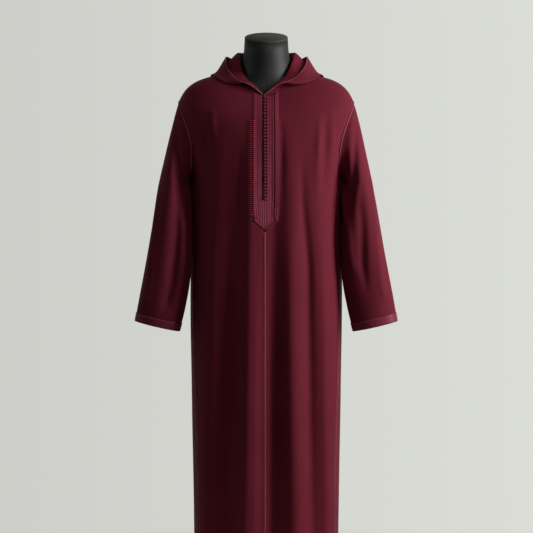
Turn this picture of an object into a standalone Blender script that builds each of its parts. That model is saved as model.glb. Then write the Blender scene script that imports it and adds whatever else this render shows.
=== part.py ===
"""A hooded djellaba robe, hanging on a limbless dress form with a neck block.

Metres, +Z up. The origin is the centre of the stand's underside, on the floor.
The robe's front faces -Y, and +X is the wearer's left. Angles round the body and
the neck run from 0 at the front, over 90 at the wearer's left, to 180 at the back.
Each cloth piece is a wall of CLOTH thickness, worked out from a table of sections,
and neighbours are SEAM_GAP apart.
"""

import math
from collections import namedtuple

import bmesh
import bpy
from mathutils import Matrix, Vector
from mathutils.bvhtree import BVHTree

MM = 0.001

# Cloth and seams
CLOTH = 2.0 * MM
TRIM = 1.2 * MM
SEAM_GAP = 0.3 * MM
LAID_GAP = 0.45 * MM
SEAT_GAP = 0.8 * MM
NECKLINE_SEAT_GAP = 3.2 * MM

# Heights of the main lines of the robe
HEM_Z = 0.110
VENT_TOP_Z = 0.480
VENT_GAP = 5.0 * MM

# Centre front: a slit held by knots down to SLIT_END_Z, then one long seam
SEAM_X = -4.5 * MM
SLIT_RIGHT_X = -9.5 * MM
SLIT_LEFT_X = -4.5 * MM
SLIT_END_Z = 1.143
SLIT_CLOSES_OVER = 0.030

# The placket: two bands beside the slit, joined below it in a point
PLACKET_HALF_WIDTH = 0.0455
PLACKET_CORNER_Z = 1.082
PLACKET_POINT_Z = 1.047
PLACKET_COLUMNS = (0.0120, 0.0235, 0.0345, PLACKET_HALF_WIDTH)

# Knotted buttons on the left band's edge
KNOT_COUNT = 32
KNOT_RADIUS = 3.3 * MM
KNOT_TOP_Z = 1.4240
KNOT_PITCH = 9.05 * MM
KNOT_X = SLIT_LEFT_X + 3.2 * MM

# The raised cord on the centre seam
BRAID_WIDTH = 3.2 * MM
BRAID_EDGE_SHARE = 0.6
BRAID_POINT_GAP = 1.5 * MM

# How far apart the places are from which a surface's normal is measured
NORMAL_STEP = 1.0 * MM
NORMAL_DEGREES = 0.4
SLEEVE_NORMAL_RINGS = 0.02
SLEEVE_NORMAL_DEGREES = 1.0
SLEEVE_LEAVES_AT_RING = 0.15

# Rows closer than this to an end row are left out, and a search halves its range this many times
ROW_CLEARANCE = 5 * MM
HALVINGS = 40

# How many cells each wall has
FRONT_OUTER_CELLS = 10
BACK_CELLS = 22
SKIRT_CELLS = 16
SLEEVE_COLUMNS = 20
HOOD_FULL_COLUMNS = 11
SHOULDER_CELLS = 7
FORM_COLUMNS = 28

# Body sections, from the hem up to the neckline. side_z, front_z and back_z are the
# section's heights at its side, front and back. dip shapes the way it falls from the
# side to the front: 2 is a round curve and 1 a V.
BodySection = namedtuple(
    "BodySection",
    "side_z front_z back_z half_width front_depth back_depth squareness dip",
)
BODY_SECTIONS = (
    BodySection(0.110, 0.110, 0.110, 0.207, 0.152, 0.158, 2.5, 2.0),
    BodySection(0.400, 0.400, 0.400, 0.211, 0.149, 0.153, 2.5, 2.0),
    BodySection(0.600, 0.600, 0.600, 0.214, 0.147, 0.150, 2.5, 2.0),
    BodySection(0.800, 0.800, 0.800, 0.217, 0.144, 0.147, 2.5, 2.0),
    BodySection(1.000, 1.000, 1.000, 0.216, 0.141, 0.143, 2.5, 2.0),
    BodySection(1.190, 1.190, 1.190, 0.214, 0.138, 0.141, 2.5, 2.0),
    BodySection(1.250, 1.240, 1.245, 0.222, 0.136, 0.139, 2.5, 2.0),
    BodySection(1.300, 1.285, 1.290, 0.229, 0.133, 0.136, 2.5, 2.0),
    BodySection(1.360, 1.335, 1.345, 0.240, 0.127, 0.131, 2.5, 2.0),
    BodySection(1.400, 1.360, 1.378, 0.2465, 0.122, 0.127, 2.5, 2.0),
    BodySection(1.420, 1.374, 1.396, 0.247, 0.118, 0.123, 2.5, 2.0),
    BodySection(1.452, 1.390, 1.425, 0.230, 0.110, 0.114, 2.45, 1.9),
    BodySection(1.475, 1.403, 1.446, 0.200, 0.103, 0.104, 2.4, 1.8),
    BodySection(1.491, 1.415, 1.469, 0.150, 0.096, 0.090, 2.3, 1.7),
    BodySection(1.505, 1.430, 1.497, 0.080, 0.086, 0.070, 2.2, 1.6),
)
UNDERARM_SECTION = 5
TIP_SECTION = 10

# The side seam lies forward of the side. Its angle from the front, by height.
SeamPoint = namedtuple("SeamPoint", "z degrees")
SIDE_SEAM = (
    SeamPoint(0.110, 61.0),
    SeamPoint(0.470, 64.0),
    SeamPoint(0.650, 68.5),
    SeamPoint(0.900, 72.0),
    SeamPoint(1.080, 80.0),
    SeamPoint(1.190, 90.0),
)
ARMHOLE_FRONT = 27.0
ARMHOLE_BACK = 25.0
ARMHOLE_ROUNDNESS = 0.7

# Folds of the body. Each crest runs from crest_high at FOLD_HIGH_Z to crest_low at the
# hem. A ridge has a height above zero, and a trough below.
Fold = namedtuple("Fold", "crest_high crest_low height half_width")
FOLD_HIGH_Z = 1.140
FRONT_FOLDS = (
    Fold(-0.145, -0.170, 0.0090, 0.025),
    Fold(-0.092, -0.118, -0.0125, 0.025),
    Fold(-0.046, -0.060, 0.0110, 0.026),
    Fold(0.024, 0.026, -0.0120, 0.024),
    Fold(0.066, 0.090, 0.0125, 0.026),
    Fold(0.104, 0.141, -0.0085, 0.024),
    Fold(0.143, 0.186, 0.0070, 0.024),
)
BACK_FOLDS = (
    Fold(-0.122, -0.165, 0.0095, 0.028),
    Fold(-0.078, -0.112, -0.0110, 0.025),
    Fold(-0.030, -0.052, 0.0125, 0.027),
    Fold(0.016, 0.006, -0.0120, 0.024),
    Fold(0.058, 0.066, 0.0115, 0.026),
    Fold(0.098, 0.121, -0.0110, 0.024),
    Fold(0.133, 0.172, 0.0080, 0.026),
)
# How much of a fold's height shows, by height above the floor
FOLD_GROWTH = ((0.110, 1.20), (0.600, 1.00), (0.950, 0.75), (1.200, 0.35), (1.340, 0.0))

# Sleeve sections, from the armhole to the cuff: the outer and inner points of each ring,
# how far forward its middle hangs, and half its depth from front to back.
SleeveSection = namedtuple(
    "SleeveSection", "outer_x outer_z inner_x inner_z forward half_depth"
)
SLEEVE_SECTIONS = (
    SleeveSection(0.2470, 1.420, 0.2140, 1.190, 0.000, 0.070),
    SleeveSection(0.2555, 1.393, 0.2190, 1.183, 0.004, 0.072),
    SleeveSection(0.2665, 1.350, 0.2195, 1.168, 0.012, 0.073),
    SleeveSection(0.2805, 1.285, 0.2172, 1.142, 0.026, 0.071),
    SleeveSection(0.2950, 1.212, 0.2140, 1.108, 0.040, 0.067),
    SleeveSection(0.3095, 1.138, 0.2120, 1.062, 0.049, 0.062),
    SleeveSection(0.3245, 1.053, 0.2112, 1.000, 0.053, 0.056),
    SleeveSection(0.3405, 0.965, 0.2130, 0.925, 0.054, 0.051),
    SleeveSection(0.3570, 0.883, 0.2240, 0.851, 0.053, 0.046),
    SleeveSection(0.3720, 0.800, 0.2440, 0.770, 0.051, 0.041),
)
ARMHOLE_SHAPE_LASTS = 4.0
CUFF_STARTS = 8.70
CUFF_ROWS = (CUFF_STARTS, 8.85, 9.0)
SLEEVE_ROWS = (
    0.0, 0.4, 0.8, 1.3, 1.8, 2.4, 3.0, 3.6, 4.2, 5.0, 5.8, 6.6, 7.4, 8.2, CUFF_STARTS, 9.0,
)
ARMHOLE_MIDDLE = (0.232, 0.0, 1.310)

# Sleeve folds: a trough that runs along the sleeve. ring is the section number and
# degrees the place round it, from 0 at the outer edge over 90 at the front.
SleeveFold = namedtuple("SleeveFold", "ring degrees depth half_width")
ARMPIT_FOLD = (
    SleeveFold(0.6, 24.0, 0.000, 14.0),
    SleeveFold(1.3, 44.0, 0.007, 16.0),
    SleeveFold(2.0, 66.0, 0.012, 18.0),
    SleeveFold(3.0, 98.0, 0.014, 20.0),
    SleeveFold(4.0, 126.0, 0.010, 20.0),
    SleeveFold(5.2, 148.0, 0.000, 20.0),
)
FOREARM_FOLD = (
    SleeveFold(3.6, 84.0, 0.000, 22.0),
    SleeveFold(5.0, 92.0, 0.0055, 24.0),
    SleeveFold(7.0, 98.0, 0.0055, 24.0),
    SleeveFold(8.7, 100.0, 0.000, 24.0),
)
# The same folds at the rear: turned by so many degrees, and less deep
REAR_FOLD_TURN = 8.0
REAR_FOLD_SHARE = 0.8

# Hood sections, in upright planes through the neck's axis: from the neckline seam up to
# a ridge beside the neck, down over the shoulder or back to the bottom of the pouch, and
# up to the free rim of the face opening. r is the distance from the neck's axis.
HoodSection = namedtuple(
    "HoodSection",
    "degrees ridge_r ridge_z under_r under_z bottom_r bottom_z outer_r outer_z rim_r rim_z",
)
HOOD_SECTIONS = (
    HoodSection(0, 0.0858, 1.4330, 0.0866, 1.4340, 0.0872, 1.4345, 0.0876, 1.4350, 0.0880, 1.4355),
    HoodSection(8, 0.0838, 1.4450, 0.0862, 1.4465, 0.0885, 1.4462, 0.0900, 1.4448, 0.0912, 1.4430),
    HoodSection(18, 0.0812, 1.4585, 0.0850, 1.4612, 0.0890, 1.4615, 0.0920, 1.4602, 0.0945, 1.4575),
    HoodSection(27, 0.0790, 1.4680, 0.0845, 1.4705, 0.0915, 1.4700, 0.0960, 1.4685, 0.0990, 1.4660),
    HoodSection(36, 0.0775, 1.4765, 0.0865, 1.4760, 0.1000, 1.4680, 0.1048, 1.4690, 0.1060, 1.4725),
    HoodSection(44, 0.0768, 1.4840, 0.0885, 1.4805, 0.1085, 1.4655, 0.1140, 1.4690, 0.1070, 1.4775),
    HoodSection(54, 0.0766, 1.4990, 0.0910, 1.4910, 0.1240, 1.4665, 0.1200, 1.4760, 0.1075, 1.4860),
    HoodSection(72, 0.0775, 1.5290, 0.1000, 1.5070, 0.1460, 1.4760, 0.1320, 1.4900, 0.1150, 1.5110),
    HoodSection(95, 0.0800, 1.5545, 0.1100, 1.5280, 0.1580, 1.4900, 0.1370, 1.5090, 0.1160, 1.5425),
    HoodSection(120, 0.0820, 1.5580, 0.1270, 1.5120, 0.1800, 1.4280, 0.1690, 1.4760, 0.1270, 1.5460),
    HoodSection(150, 0.0835, 1.5580, 0.1310, 1.4560, 0.1690, 1.2900, 0.1810, 1.4100, 0.1420, 1.5320),
    HoodSection(180, 0.0840, 1.5580, 0.1340, 1.4300, 0.1530, 1.1800, 0.1720, 1.3400, 0.1500, 1.5240),
)
# Rows of the hood's wall: 1 is the ridge, 3 the bottom of the pouch and 5 the rim
HOOD_ROWS = (0.0, 0.5, 0.8, 1.0, 1.25, 1.6, 2.0, 2.45, 2.8, 3.0, 3.2, 3.6, 4.0, 4.5, 5.0)
RIDGE_ROW = HOOD_ROWS.index(1.0)
# How far the hood's middle layer stays off the robe, by angle round the neck
HOOD_LIES_OFF = ((50.0, 2.8 * MM), (100.0, 7.0 * MM))
SKIN_BELOW_UNDERARM = 0.2
SKIN_COLUMNS = 72

# Dress form sections below the shoulders, from the bottom up, and the neck above them
FormSection = namedtuple("FormSection", "side_z front_z back_z half_width front_depth back_depth")
TORSO_SECTIONS = (
    FormSection(0.780, 0.780, 0.780, 0.120, 0.078, 0.078),
    FormSection(0.790, 0.790, 0.790, 0.142, 0.096, 0.094),
    FormSection(0.815, 0.815, 0.815, 0.156, 0.106, 0.103),
    FormSection(0.870, 0.870, 0.870, 0.166, 0.112, 0.110),
    FormSection(0.950, 0.950, 0.950, 0.166, 0.110, 0.111),
    FormSection(1.050, 1.050, 1.050, 0.154, 0.104, 0.102),
    FormSection(1.150, 1.145, 1.148, 0.160, 0.111, 0.107),
    FormSection(1.250, 1.235, 1.245, 0.172, 0.119, 0.115),
    FormSection(1.320, 1.290, 1.308, 0.182, 0.117, 0.118),
    FormSection(1.370, 1.328, 1.350, 0.190, 0.112, 0.116),
    FormSection(1.410, 1.355, 1.384, 0.196, 0.107, 0.111),
    FormSection(1.442, 1.378, 1.414, 0.198, 0.103, 0.106),
)
FORM_SQUARENESS = 2.3
SHOULDER_STARTS_X = 0.188
NeckSection = namedtuple("NeckSection", "z centre_y half_width half_depth lean")
NECK_SECTIONS = (
    NeckSection(1.509, -0.003, 0.0660, 0.0600, 0.023),
    NeckSection(1.537, -0.007, 0.0670, 0.0630, 0.010),
    NeckSection(1.563, -0.009, 0.0630, 0.0620, 0.012),
    NeckSection(1.594, -0.014, 0.0610, 0.0610, 0.016),
)
CAP_THICKNESS = 6.0 * MM
CAP_ROUNDS_AT = 0.75 * CAP_THICKNESS
CAP_TOP_SHARE = 0.975
CAP_GAP = 0.3 * MM

# Stand
BASE_RADIUS = 0.175
BASE_THICKNESS = 0.010
BASE_EDGE = 3.0 * MM
POLE_RADIUS = 0.014
STAND_SIDES = 32

Finish = namedtuple("Finish", "colour roughness metallic")
FINISHES = {
    "cloth": Finish((0.105, 0.010, 0.022, 1.0), 0.75, 0.0),
    "satin_trim": Finish((0.170, 0.020, 0.042, 1.0), 0.45, 0.0),
    "form_black": Finish((0.020, 0.022, 0.020, 1.0), 0.50, 0.0),
    "stand_metal": Finish((0.030, 0.030, 0.030, 1.0), 0.40, 0.8),
}


def smooth(places, values, at):
    """A smooth curve through values at rising places, read at one place."""
    at = min(max(at, places[0]), places[-1])
    i = max(k for k in range(len(places) - 1) if places[k] <= at)

    def slope(k):
        low, high = max(k - 1, 0), min(k + 1, len(places) - 1)
        return (values[high] - values[low]) / (places[high] - places[low])

    width = places[i + 1] - places[i]
    t = (at - places[i]) / width
    rise = values[i + 1] - values[i]
    start, end = slope(i) * width, slope(i + 1) * width
    bend = t * t * (3 * rise - 2 * start - end)
    return values[i] + start * t + bend + t**3 * (start + end - 2 * rise)


def straight(pairs, at):
    """Straight lines between (place, value) pairs, read at one place."""
    if at <= pairs[0][0]:
        return pairs[0][1]
    for (x0, y0), (x1, y1) in zip(pairs, pairs[1:]):
        if at <= x1:
            return y0 + (y1 - y0) * (at - x0) / (x1 - x0)
    return pairs[-1][1]


def spread(low, high, cells):
    """Evenly spaced values from low to high."""
    return [low + (high - low) * k / cells for k in range(cells + 1)]


def bump(distance, half_width):
    """1 at the crest of a fold, falling smoothly to almost 0 at two half widths."""
    return math.exp(-((distance / half_width) ** 2))


def signed_power(value, power):
    return math.copysign(abs(value) ** power, value)


def side_lengths():
    """The distance up the robe's side line to each body section."""
    lengths = [0.0]
    for low, high in zip(BODY_SECTIONS, BODY_SECTIONS[1:]):
        step = math.hypot(high.half_width - low.half_width, high.side_z - low.side_z)
        lengths.append(lengths[-1] + step)
    return lengths


STATIONS = side_lengths()
UNDERARM = STATIONS[UNDERARM_SECTION]
TIP = STATIONS[TIP_SECTION]
NECKLINE = STATIONS[-1]


def body_section(station):
    """The body section at any station, smoothly between the rows of the table."""
    return BodySection(*(smooth(STATIONS, column, station) for column in zip(*BODY_SECTIONS)))


def plain_body_point(station, degrees):
    """A point of the robe's outer surface without its folds."""
    s = body_section(station)
    across, ahead = math.sin(math.radians(degrees)), math.cos(math.radians(degrees))
    power = 2.0 / s.squareness
    depth, end_z, dip = s.back_depth, s.back_z, 2.0
    if ahead > 0:
        depth, end_z, dip = s.front_depth, s.front_z, s.dip
    z = end_z + (s.side_z - end_z) * abs(across) ** dip
    x = s.half_width * signed_power(across, power)
    return Vector((x, -depth * signed_power(ahead, power), z))


def fold_height(point, half_width):
    """How far the folds move a point of the body outwards."""
    folds = FRONT_FOLDS if point.y < 0 else BACK_FOLDS
    low = (FOLD_HIGH_Z - point.z) / (FOLD_HIGH_Z - HEM_Z)
    total = 0.0
    for fold in folds:
        crest = fold.crest_high + (fold.crest_low - fold.crest_high) * low
        total += fold.height * bump(point.x - crest, fold.half_width)
    fades_to_side = 1.0 - min(1.0, abs(point.x) / half_width) ** 6
    return total * fades_to_side * straight(FOLD_GROWTH, point.z)


def body_point(station, degrees):
    """A point of the robe's outer surface, with its folds."""
    point = plain_body_point(station, degrees)
    s = body_section(station)
    outwards = Vector((point.x / s.half_width**2, point.y / s.front_depth**2, 0)).normalized()
    return point + outwards * fold_height(point, s.half_width)


def normal_of(surface, u, v, u_step, v_step, u_range):
    """The outward unit normal of a surface(u, v), from points close by."""
    low, high = max(u - u_step, u_range[0]), min(u + u_step, u_range[1])
    along_u = surface(high, v) - surface(low, v)
    along_v = surface(u, v + v_step) - surface(u, v - v_step)
    return along_v.cross(along_u).normalized()


def body_normal(station, degrees):
    return normal_of(body_point, station, degrees, NORMAL_STEP, NORMAL_DEGREES, (0.0, NECKLINE))


def side_seam_degrees(z):
    return smooth([p.z for p in SIDE_SEAM], [p.degrees for p in SIDE_SEAM], z)


def armhole_share(station):
    """0 at the underarm and 1 at the shoulder tip."""
    return min(max((station - UNDERARM) / (TIP - UNDERARM), 0.0), 1.0)


def edge_degrees(station, reach):
    """The angle of a panel's side edge: side seam, armhole and then shoulder seam."""
    if station < UNDERARM:
        return side_seam_degrees(body_section(station).side_z)
    opened = math.sin(math.pi * armhole_share(station))
    return 90.0 + reach * max(opened, 0.0) ** ARMHOLE_ROUNDNESS


def half_gap_degrees(station, degrees):
    """Half the gap between front and back, as an angle. It widens down the side vent."""
    step = 0.5
    arc = (body_point(station, degrees + step) - body_point(station, degrees - step)).length
    z = body_section(station).side_z
    vent = VENT_GAP * max(0.0, (VENT_TOP_Z - z) / (VENT_TOP_Z - HEM_Z))
    return (SEAM_GAP + vent) / 2 * (2 * step / arc)


def body_rows():
    """Stations of the wall's rows. Those beside the armhole match the sleeve's columns."""
    half = SLEEVE_COLUMNS // 2
    shares = [(1 - math.cos(math.pi * k / half)) / 2 for k in range(1, half + 1)]
    armhole = [UNDERARM + (TIP - UNDERARM) * share for share in shares]
    shoulder = spread(TIP, NECKLINE, SHOULDER_CELLS)[1:]
    return spread(0.0, UNDERARM, SKIRT_CELLS) + armhole + shoulder


def degrees_at_x(station, x):
    """The angle at which a section reaches a distance x from the middle."""
    s = body_section(station)
    share = min(abs(x) / s.half_width, 1.0)
    return math.copysign(math.degrees(math.asin(share ** (s.squareness / 2.0))), x)


def centre_edge_x(z, side):
    """The inner edge of one front: the seam below, and beside the slit above."""
    opened = min(max((z - SLIT_END_Z) / SLIT_CLOSES_OVER, 0.0), 1.0)
    slit = SLIT_LEFT_X if side > 0 else SLIT_RIGHT_X
    seam = SEAM_X + side * SEAM_GAP / 2
    return seam + (slit - seam) * opened


def front_columns(station, side):
    """Angles of one front panel's columns, from the centre to its side edge."""
    z = plain_body_point(station, 0.0).z
    inner = [degrees_at_x(station, centre_edge_x(z, side))]
    inner += [degrees_at_x(station, SEAM_X + side * x) for x in PLACKET_COLUMNS]
    edge = edge_degrees(station, -ARMHOLE_FRONT)
    edge -= half_gap_degrees(station, edge)
    return inner + [
        inner[-1] + (side * edge - inner[-1]) * k / FRONT_OUTER_CELLS
        for k in range(1, FRONT_OUTER_CELLS + 1)
    ]


def back_columns(station):
    """Angles of the back panel's columns, from the wearer's left to the right."""
    edge = edge_degrees(station, ARMHOLE_BACK)
    edge += half_gap_degrees(station, edge)
    return spread(edge, 360.0 - edge, BACK_CELLS)


def finish_material(name):
    found = bpy.data.materials.get(name)
    if found:
        return found
    finish = FINISHES[name]
    material = bpy.data.materials.new(name)
    material.use_nodes = True
    shader = material.node_tree.nodes["Principled BSDF"]
    shader.inputs["Base Color"].default_value = finish.colour
    shader.inputs["Roughness"].default_value = finish.roughness
    shader.inputs["Metallic"].default_value = finish.metallic
    return material


def add_object(name, mesh_builder, finish):
    """Turns a bmesh into a named object, shaded smooth, with its faces pointing out."""
    bmesh.ops.recalc_face_normals(mesh_builder, faces=mesh_builder.faces)
    mesh = bpy.data.meshes.new(name)
    mesh_builder.to_mesh(mesh)
    mesh_builder.free()
    mesh.shade_smooth()
    mesh.set_sharp_from_angle(angle=math.radians(40))
    mesh.materials.append(finish_material(finish))
    part = bpy.data.objects.new(name, mesh)
    bpy.context.scene.collection.objects.link(part)
    return part


def wall(name, outer, inner, finish, wrap=False, skip=()):
    """A closed wall between two grids of points. skip lists cells (row, column) left open."""
    built = bmesh.new()
    rows, columns = len(outer), len(outer[0])
    cells_across = columns if wrap else columns - 1
    layers = [[[built.verts.new(p) for p in row] for row in grid] for grid in (outer, inner)]
    open_cells = set(skip)
    uses = {}
    for r in range(rows - 1):
        for c in range(cells_across):
            if (r, c) in open_cells:
                continue
            d = (c + 1) % columns
            corners = [(r, c), (r, d), (r + 1, d), (r + 1, c)]
            for layer, turn in zip(layers, (1, -1)):
                built.faces.new([layer[i][j] for i, j in corners][::turn])
            for a, b in zip(corners, corners[1:] + corners[:1]):
                uses.setdefault(frozenset((a, b)), []).append((a, b))
    top, bottom = layers
    for edges in uses.values():
        if len(edges) == 1:
            (ra, ca), (rb, cb) = edges[0]
            built.faces.new([top[rb][cb], top[ra][ca], bottom[ra][ca], bottom[rb][cb]])
    for vertex in [v for v in built.verts if not v.link_faces]:
        built.verts.remove(vertex)
    return add_object(name, built, finish)


def body_wall(name, rows, columns_of, finish):
    """A panel of the body: its outer points, and the same points moved in by the cloth."""
    outer, inner = [], []
    for station in rows:
        columns = columns_of(station)
        points = [body_point(station, d) for d in columns]
        outer.append(points)
        inner.append([p - body_normal(station, d) * CLOTH for p, d in zip(points, columns)])
    return wall(name, outer, inner, finish)


def station_at_front_z(z, x):
    """The station whose section passes height z at a distance x beside the centre."""
    low, high = 0.0, NECKLINE
    for _ in range(HALVINGS):
        middle = (low + high) / 2
        if body_point(middle, degrees_at_x(middle, x)).z < z:
            low = middle
        else:
            high = middle
    return (low + high) / 2


def laid_on_front(station, x, height):
    """A point at distance x beside the centre, lifted off the front by height."""
    degrees = degrees_at_x(station, x)
    return body_point(station, degrees) + body_normal(station, degrees) * height


def build_fronts_and_back():
    rows = body_rows()
    body_wall("front_left", rows, lambda s: front_columns(s, 1), "cloth")
    body_wall("front_right", rows, lambda s: front_columns(s, -1), "cloth")
    body_wall("back", rows, back_columns, "cloth")


def placket_stations(x):
    """Stations of the placket's rows in the column at x: the front's own rows, then a V."""
    top_rows = [s for s in body_rows() if plain_body_point(s, 0.0).z > PLACKET_CORNER_Z]
    share = min(abs(x - SEAM_X) / PLACKET_HALF_WIDTH, 1.0)
    end_z = PLACKET_POINT_Z + (PLACKET_CORNER_Z - PLACKET_POINT_Z) * share
    end = station_at_front_z(end_z, x)
    middle = (end + top_rows[0]) / 2
    return [end, middle] + top_rows


def build_placket():
    """Two bands lying on the fronts beside the slit, joined below it in a point."""
    below, above = LAID_GAP, LAID_GAP + TRIM
    bands = [-x for x in reversed(PLACKET_COLUMNS)] + [None, None] + list(PLACKET_COLUMNS)
    middle = len(PLACKET_COLUMNS)
    places = [SEAM_X + (x or 0.0) for x in bands]
    stations = [placket_stations(x) for x in places]
    rows = len(stations[0])
    outer, inner, skip = [], [], []
    for r in range(rows):
        row = []
        for c, x in enumerate(places):
            station = stations[c][r]
            z = plain_body_point(station, 0.0).z
            if bands[c] is None:
                side = -1 if c == middle else 1
                x = centre_edge_x(z, side) + side * SEAM_GAP
                if z <= SLIT_END_Z:
                    x = SEAM_X + side * 2 * SEAM_GAP
            row.append((station, x))
        outer.append([laid_on_front(s, x, above) for s, x in row])
        inner.append([laid_on_front(s, x, below) for s, x in row])
        next_row = min(r + 1, rows - 1)
        if plain_body_point(stations[middle][next_row], 0.0).z > SLIT_END_Z:
            skip.append((r, middle))
    wall("placket", outer, inner, "satin_trim", skip=skip)


def build_knots():
    """The knotted buttons, one below the other on the left band's edge."""
    seat = LAID_GAP + TRIM + SEAM_GAP
    for k in range(KNOT_COUNT):
        station = station_at_front_z(KNOT_TOP_Z - k * KNOT_PITCH, KNOT_X)
        centre = laid_on_front(station, KNOT_X, seat + KNOT_RADIUS)
        built = bmesh.new()
        placed = Matrix.Translation(centre)
        bmesh.ops.create_uvsphere(
            built, u_segments=6, v_segments=4, radius=KNOT_RADIUS, matrix=placed
        )
        add_object(f"knot_{k + 1:02d}", built, "satin_trim")


def build_front_braid():
    """The raised cord on the centre seam, from the placket's point to the hem."""
    top = station_at_front_z(PLACKET_POINT_Z - BRAID_POINT_GAP, SEAM_X)
    rows = [s for s in body_rows() if s < top - ROW_CLEARANCE] + [top]
    places = [SEAM_X - BRAID_WIDTH / 2, SEAM_X, SEAM_X + BRAID_WIDTH / 2]
    lifts = [LAID_GAP + TRIM * share for share in (BRAID_EDGE_SHARE, 1.0, BRAID_EDGE_SHARE)]
    outer = [[laid_on_front(s, x, lift) for x, lift in zip(places, lifts)] for s in rows]
    inner = [[laid_on_front(s, x, LAID_GAP) for x in places] for s in rows]
    wall("front_braid", outer, inner, "satin_trim")


def armhole_point(turn):
    """A point of the armhole's edge on the wearer's left, and the body's normal there."""
    share = (1 + math.cos(math.radians(turn))) / 2
    station = UNDERARM + (TIP - UNDERARM) * share
    reach = -ARMHOLE_FRONT if math.sin(math.radians(turn)) >= 0 else ARMHOLE_BACK
    degrees = edge_degrees(station, reach)
    return body_point(station, degrees), body_normal(station, degrees)


def sleeve_section(ring):
    places = list(range(len(SLEEVE_SECTIONS)))
    return SleeveSection(*(smooth(places, column, ring) for column in zip(*SLEEVE_SECTIONS)))


def sleeve_oval(ring, turn):
    """A point of the plain oval ring, and the ring's centre."""
    s = sleeve_section(ring)
    outer = Vector((s.outer_x, -s.forward, s.outer_z))
    inner = Vector((s.inner_x, -s.forward, s.inner_z))
    centre = (outer + inner) / 2
    across, ahead = math.cos(math.radians(turn)), math.sin(math.radians(turn))
    return centre + (outer - inner) / 2 * across + Vector((0, -s.half_depth * ahead, 0)), centre


def sleeve_fold_depth(ring, turn, fold):
    rings = [f.ring for f in fold]
    if not rings[0] < ring < rings[-1]:
        return 0.0
    middle, depth, width = (
        smooth(rings, [f[k] for f in fold], ring) for k in (1, 2, 3)
    )
    front = bump((turn + 180) % 360 - 180 - middle, width)
    rear = bump((turn + 180) % 360 - 180 + middle + REAR_FOLD_TURN, width)
    return max(depth, 0.0) * (front + REAR_FOLD_SHARE * rear)


def sleeve_point(ring, turn):
    """A point of the left sleeve's outer surface. It starts on the armhole's own line."""
    point, centre = sleeve_oval(ring, turn)
    lasts = max(0.0, 1.0 - ring / ARMHOLE_SHAPE_LASTS) ** 2
    if lasts > 0:
        point = point + (armhole_point(turn)[0] - sleeve_oval(0.0, turn)[0]) * lasts
    depth = sum(sleeve_fold_depth(ring, turn, fold) for fold in (ARMPIT_FOLD, FOREARM_FOLD))
    return point + (centre - point).normalized() * depth


def sleeve_normal(ring, turn):
    last = len(SLEEVE_SECTIONS) - 1
    return normal_of(
        sleeve_point, ring, turn, SLEEVE_NORMAL_RINGS, SLEEVE_NORMAL_DEGREES, (0.0, last)
    )


def sleeve_start(turn):
    """The sleeve's first row, moved off the armhole's edge by the seam gap."""
    edge, body_out = armhole_point(turn)
    along = armhole_point(turn + 1)[0] - armhole_point(turn - 1)[0]
    away = along.cross(body_out).normalized()
    if away.dot(Vector(ARMHOLE_MIDDLE) - edge) < 0:
        away = -away
    leaves = sleeve_point(SLEEVE_LEAVES_AT_RING, turn) - edge
    out = sleeve_normal(0.0, turn) if leaves.dot(body_out) > 0 else body_out
    start = edge + away * SEAM_GAP
    return start, start - out * CLOTH


def mirrored(grid, side):
    return [[Vector((p.x * side, p.y, p.z)) for p in row] for row in grid]


def build_sleeves():
    turns = [360.0 * k / SLEEVE_COLUMNS for k in range(SLEEVE_COLUMNS)]
    starts = [sleeve_start(turn) for turn in turns]
    outer, inner = [[s[0] for s in starts]], [[s[1] for s in starts]]
    for ring in SLEEVE_ROWS[1:]:
        points = [sleeve_point(ring, turn) for turn in turns]
        outer.append(points)
        inner.append([p - sleeve_normal(ring, t) * CLOTH for p, t in zip(points, turns)])
    bands = []
    for lift in (LAID_GAP + TRIM, LAID_GAP):
        bands.append(
            [[sleeve_point(r, t) + sleeve_normal(r, t) * lift for t in turns] for r in CUFF_ROWS]
        )
    for side, word in ((1, "left"), (-1, "right")):
        wall(f"sleeve_{word}", mirrored(outer, side), mirrored(inner, side), "cloth", wrap=True)
        band_outer, band_inner = (mirrored(band, side) for band in bands)
        wall(f"cuff_band_{word}", band_outer, band_inner, "satin_trim", wrap=True)


def neckline_columns():
    """Angles of the hood's columns: those of the panels' neckline, thinned at the front."""
    fronts = []
    for side in (1, -1):
        columns = front_columns(NECKLINE, side)
        kept, thinned = columns[:HOOD_FULL_COLUMNS], columns[HOOD_FULL_COLUMNS + 1 :: 2]
        fronts.append(kept + thinned)
    back = back_columns(NECKLINE)
    return fronts[0] + back[1:-1] + [360.0 + d for d in reversed(fronts[1])]


def hood_section(azimuth):
    """The hood section in the plane at this angle round the neck, from -180 to 180.

    Both sides are alike, counted from the slit.
    """
    slit = math.degrees(math.atan2((SLIT_RIGHT_X + SLIT_LEFT_X) / 2, HOOD_SECTIONS[0].ridge_r))
    side = 1 if azimuth > slit else -1
    folded = 180.0 * (azimuth - slit) / (side * 180.0 - slit)
    places = [s.degrees for s in HOOD_SECTIONS]
    return HoodSection(*(smooth(places, column, folded) for column in zip(*HOOD_SECTIONS)))


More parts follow.
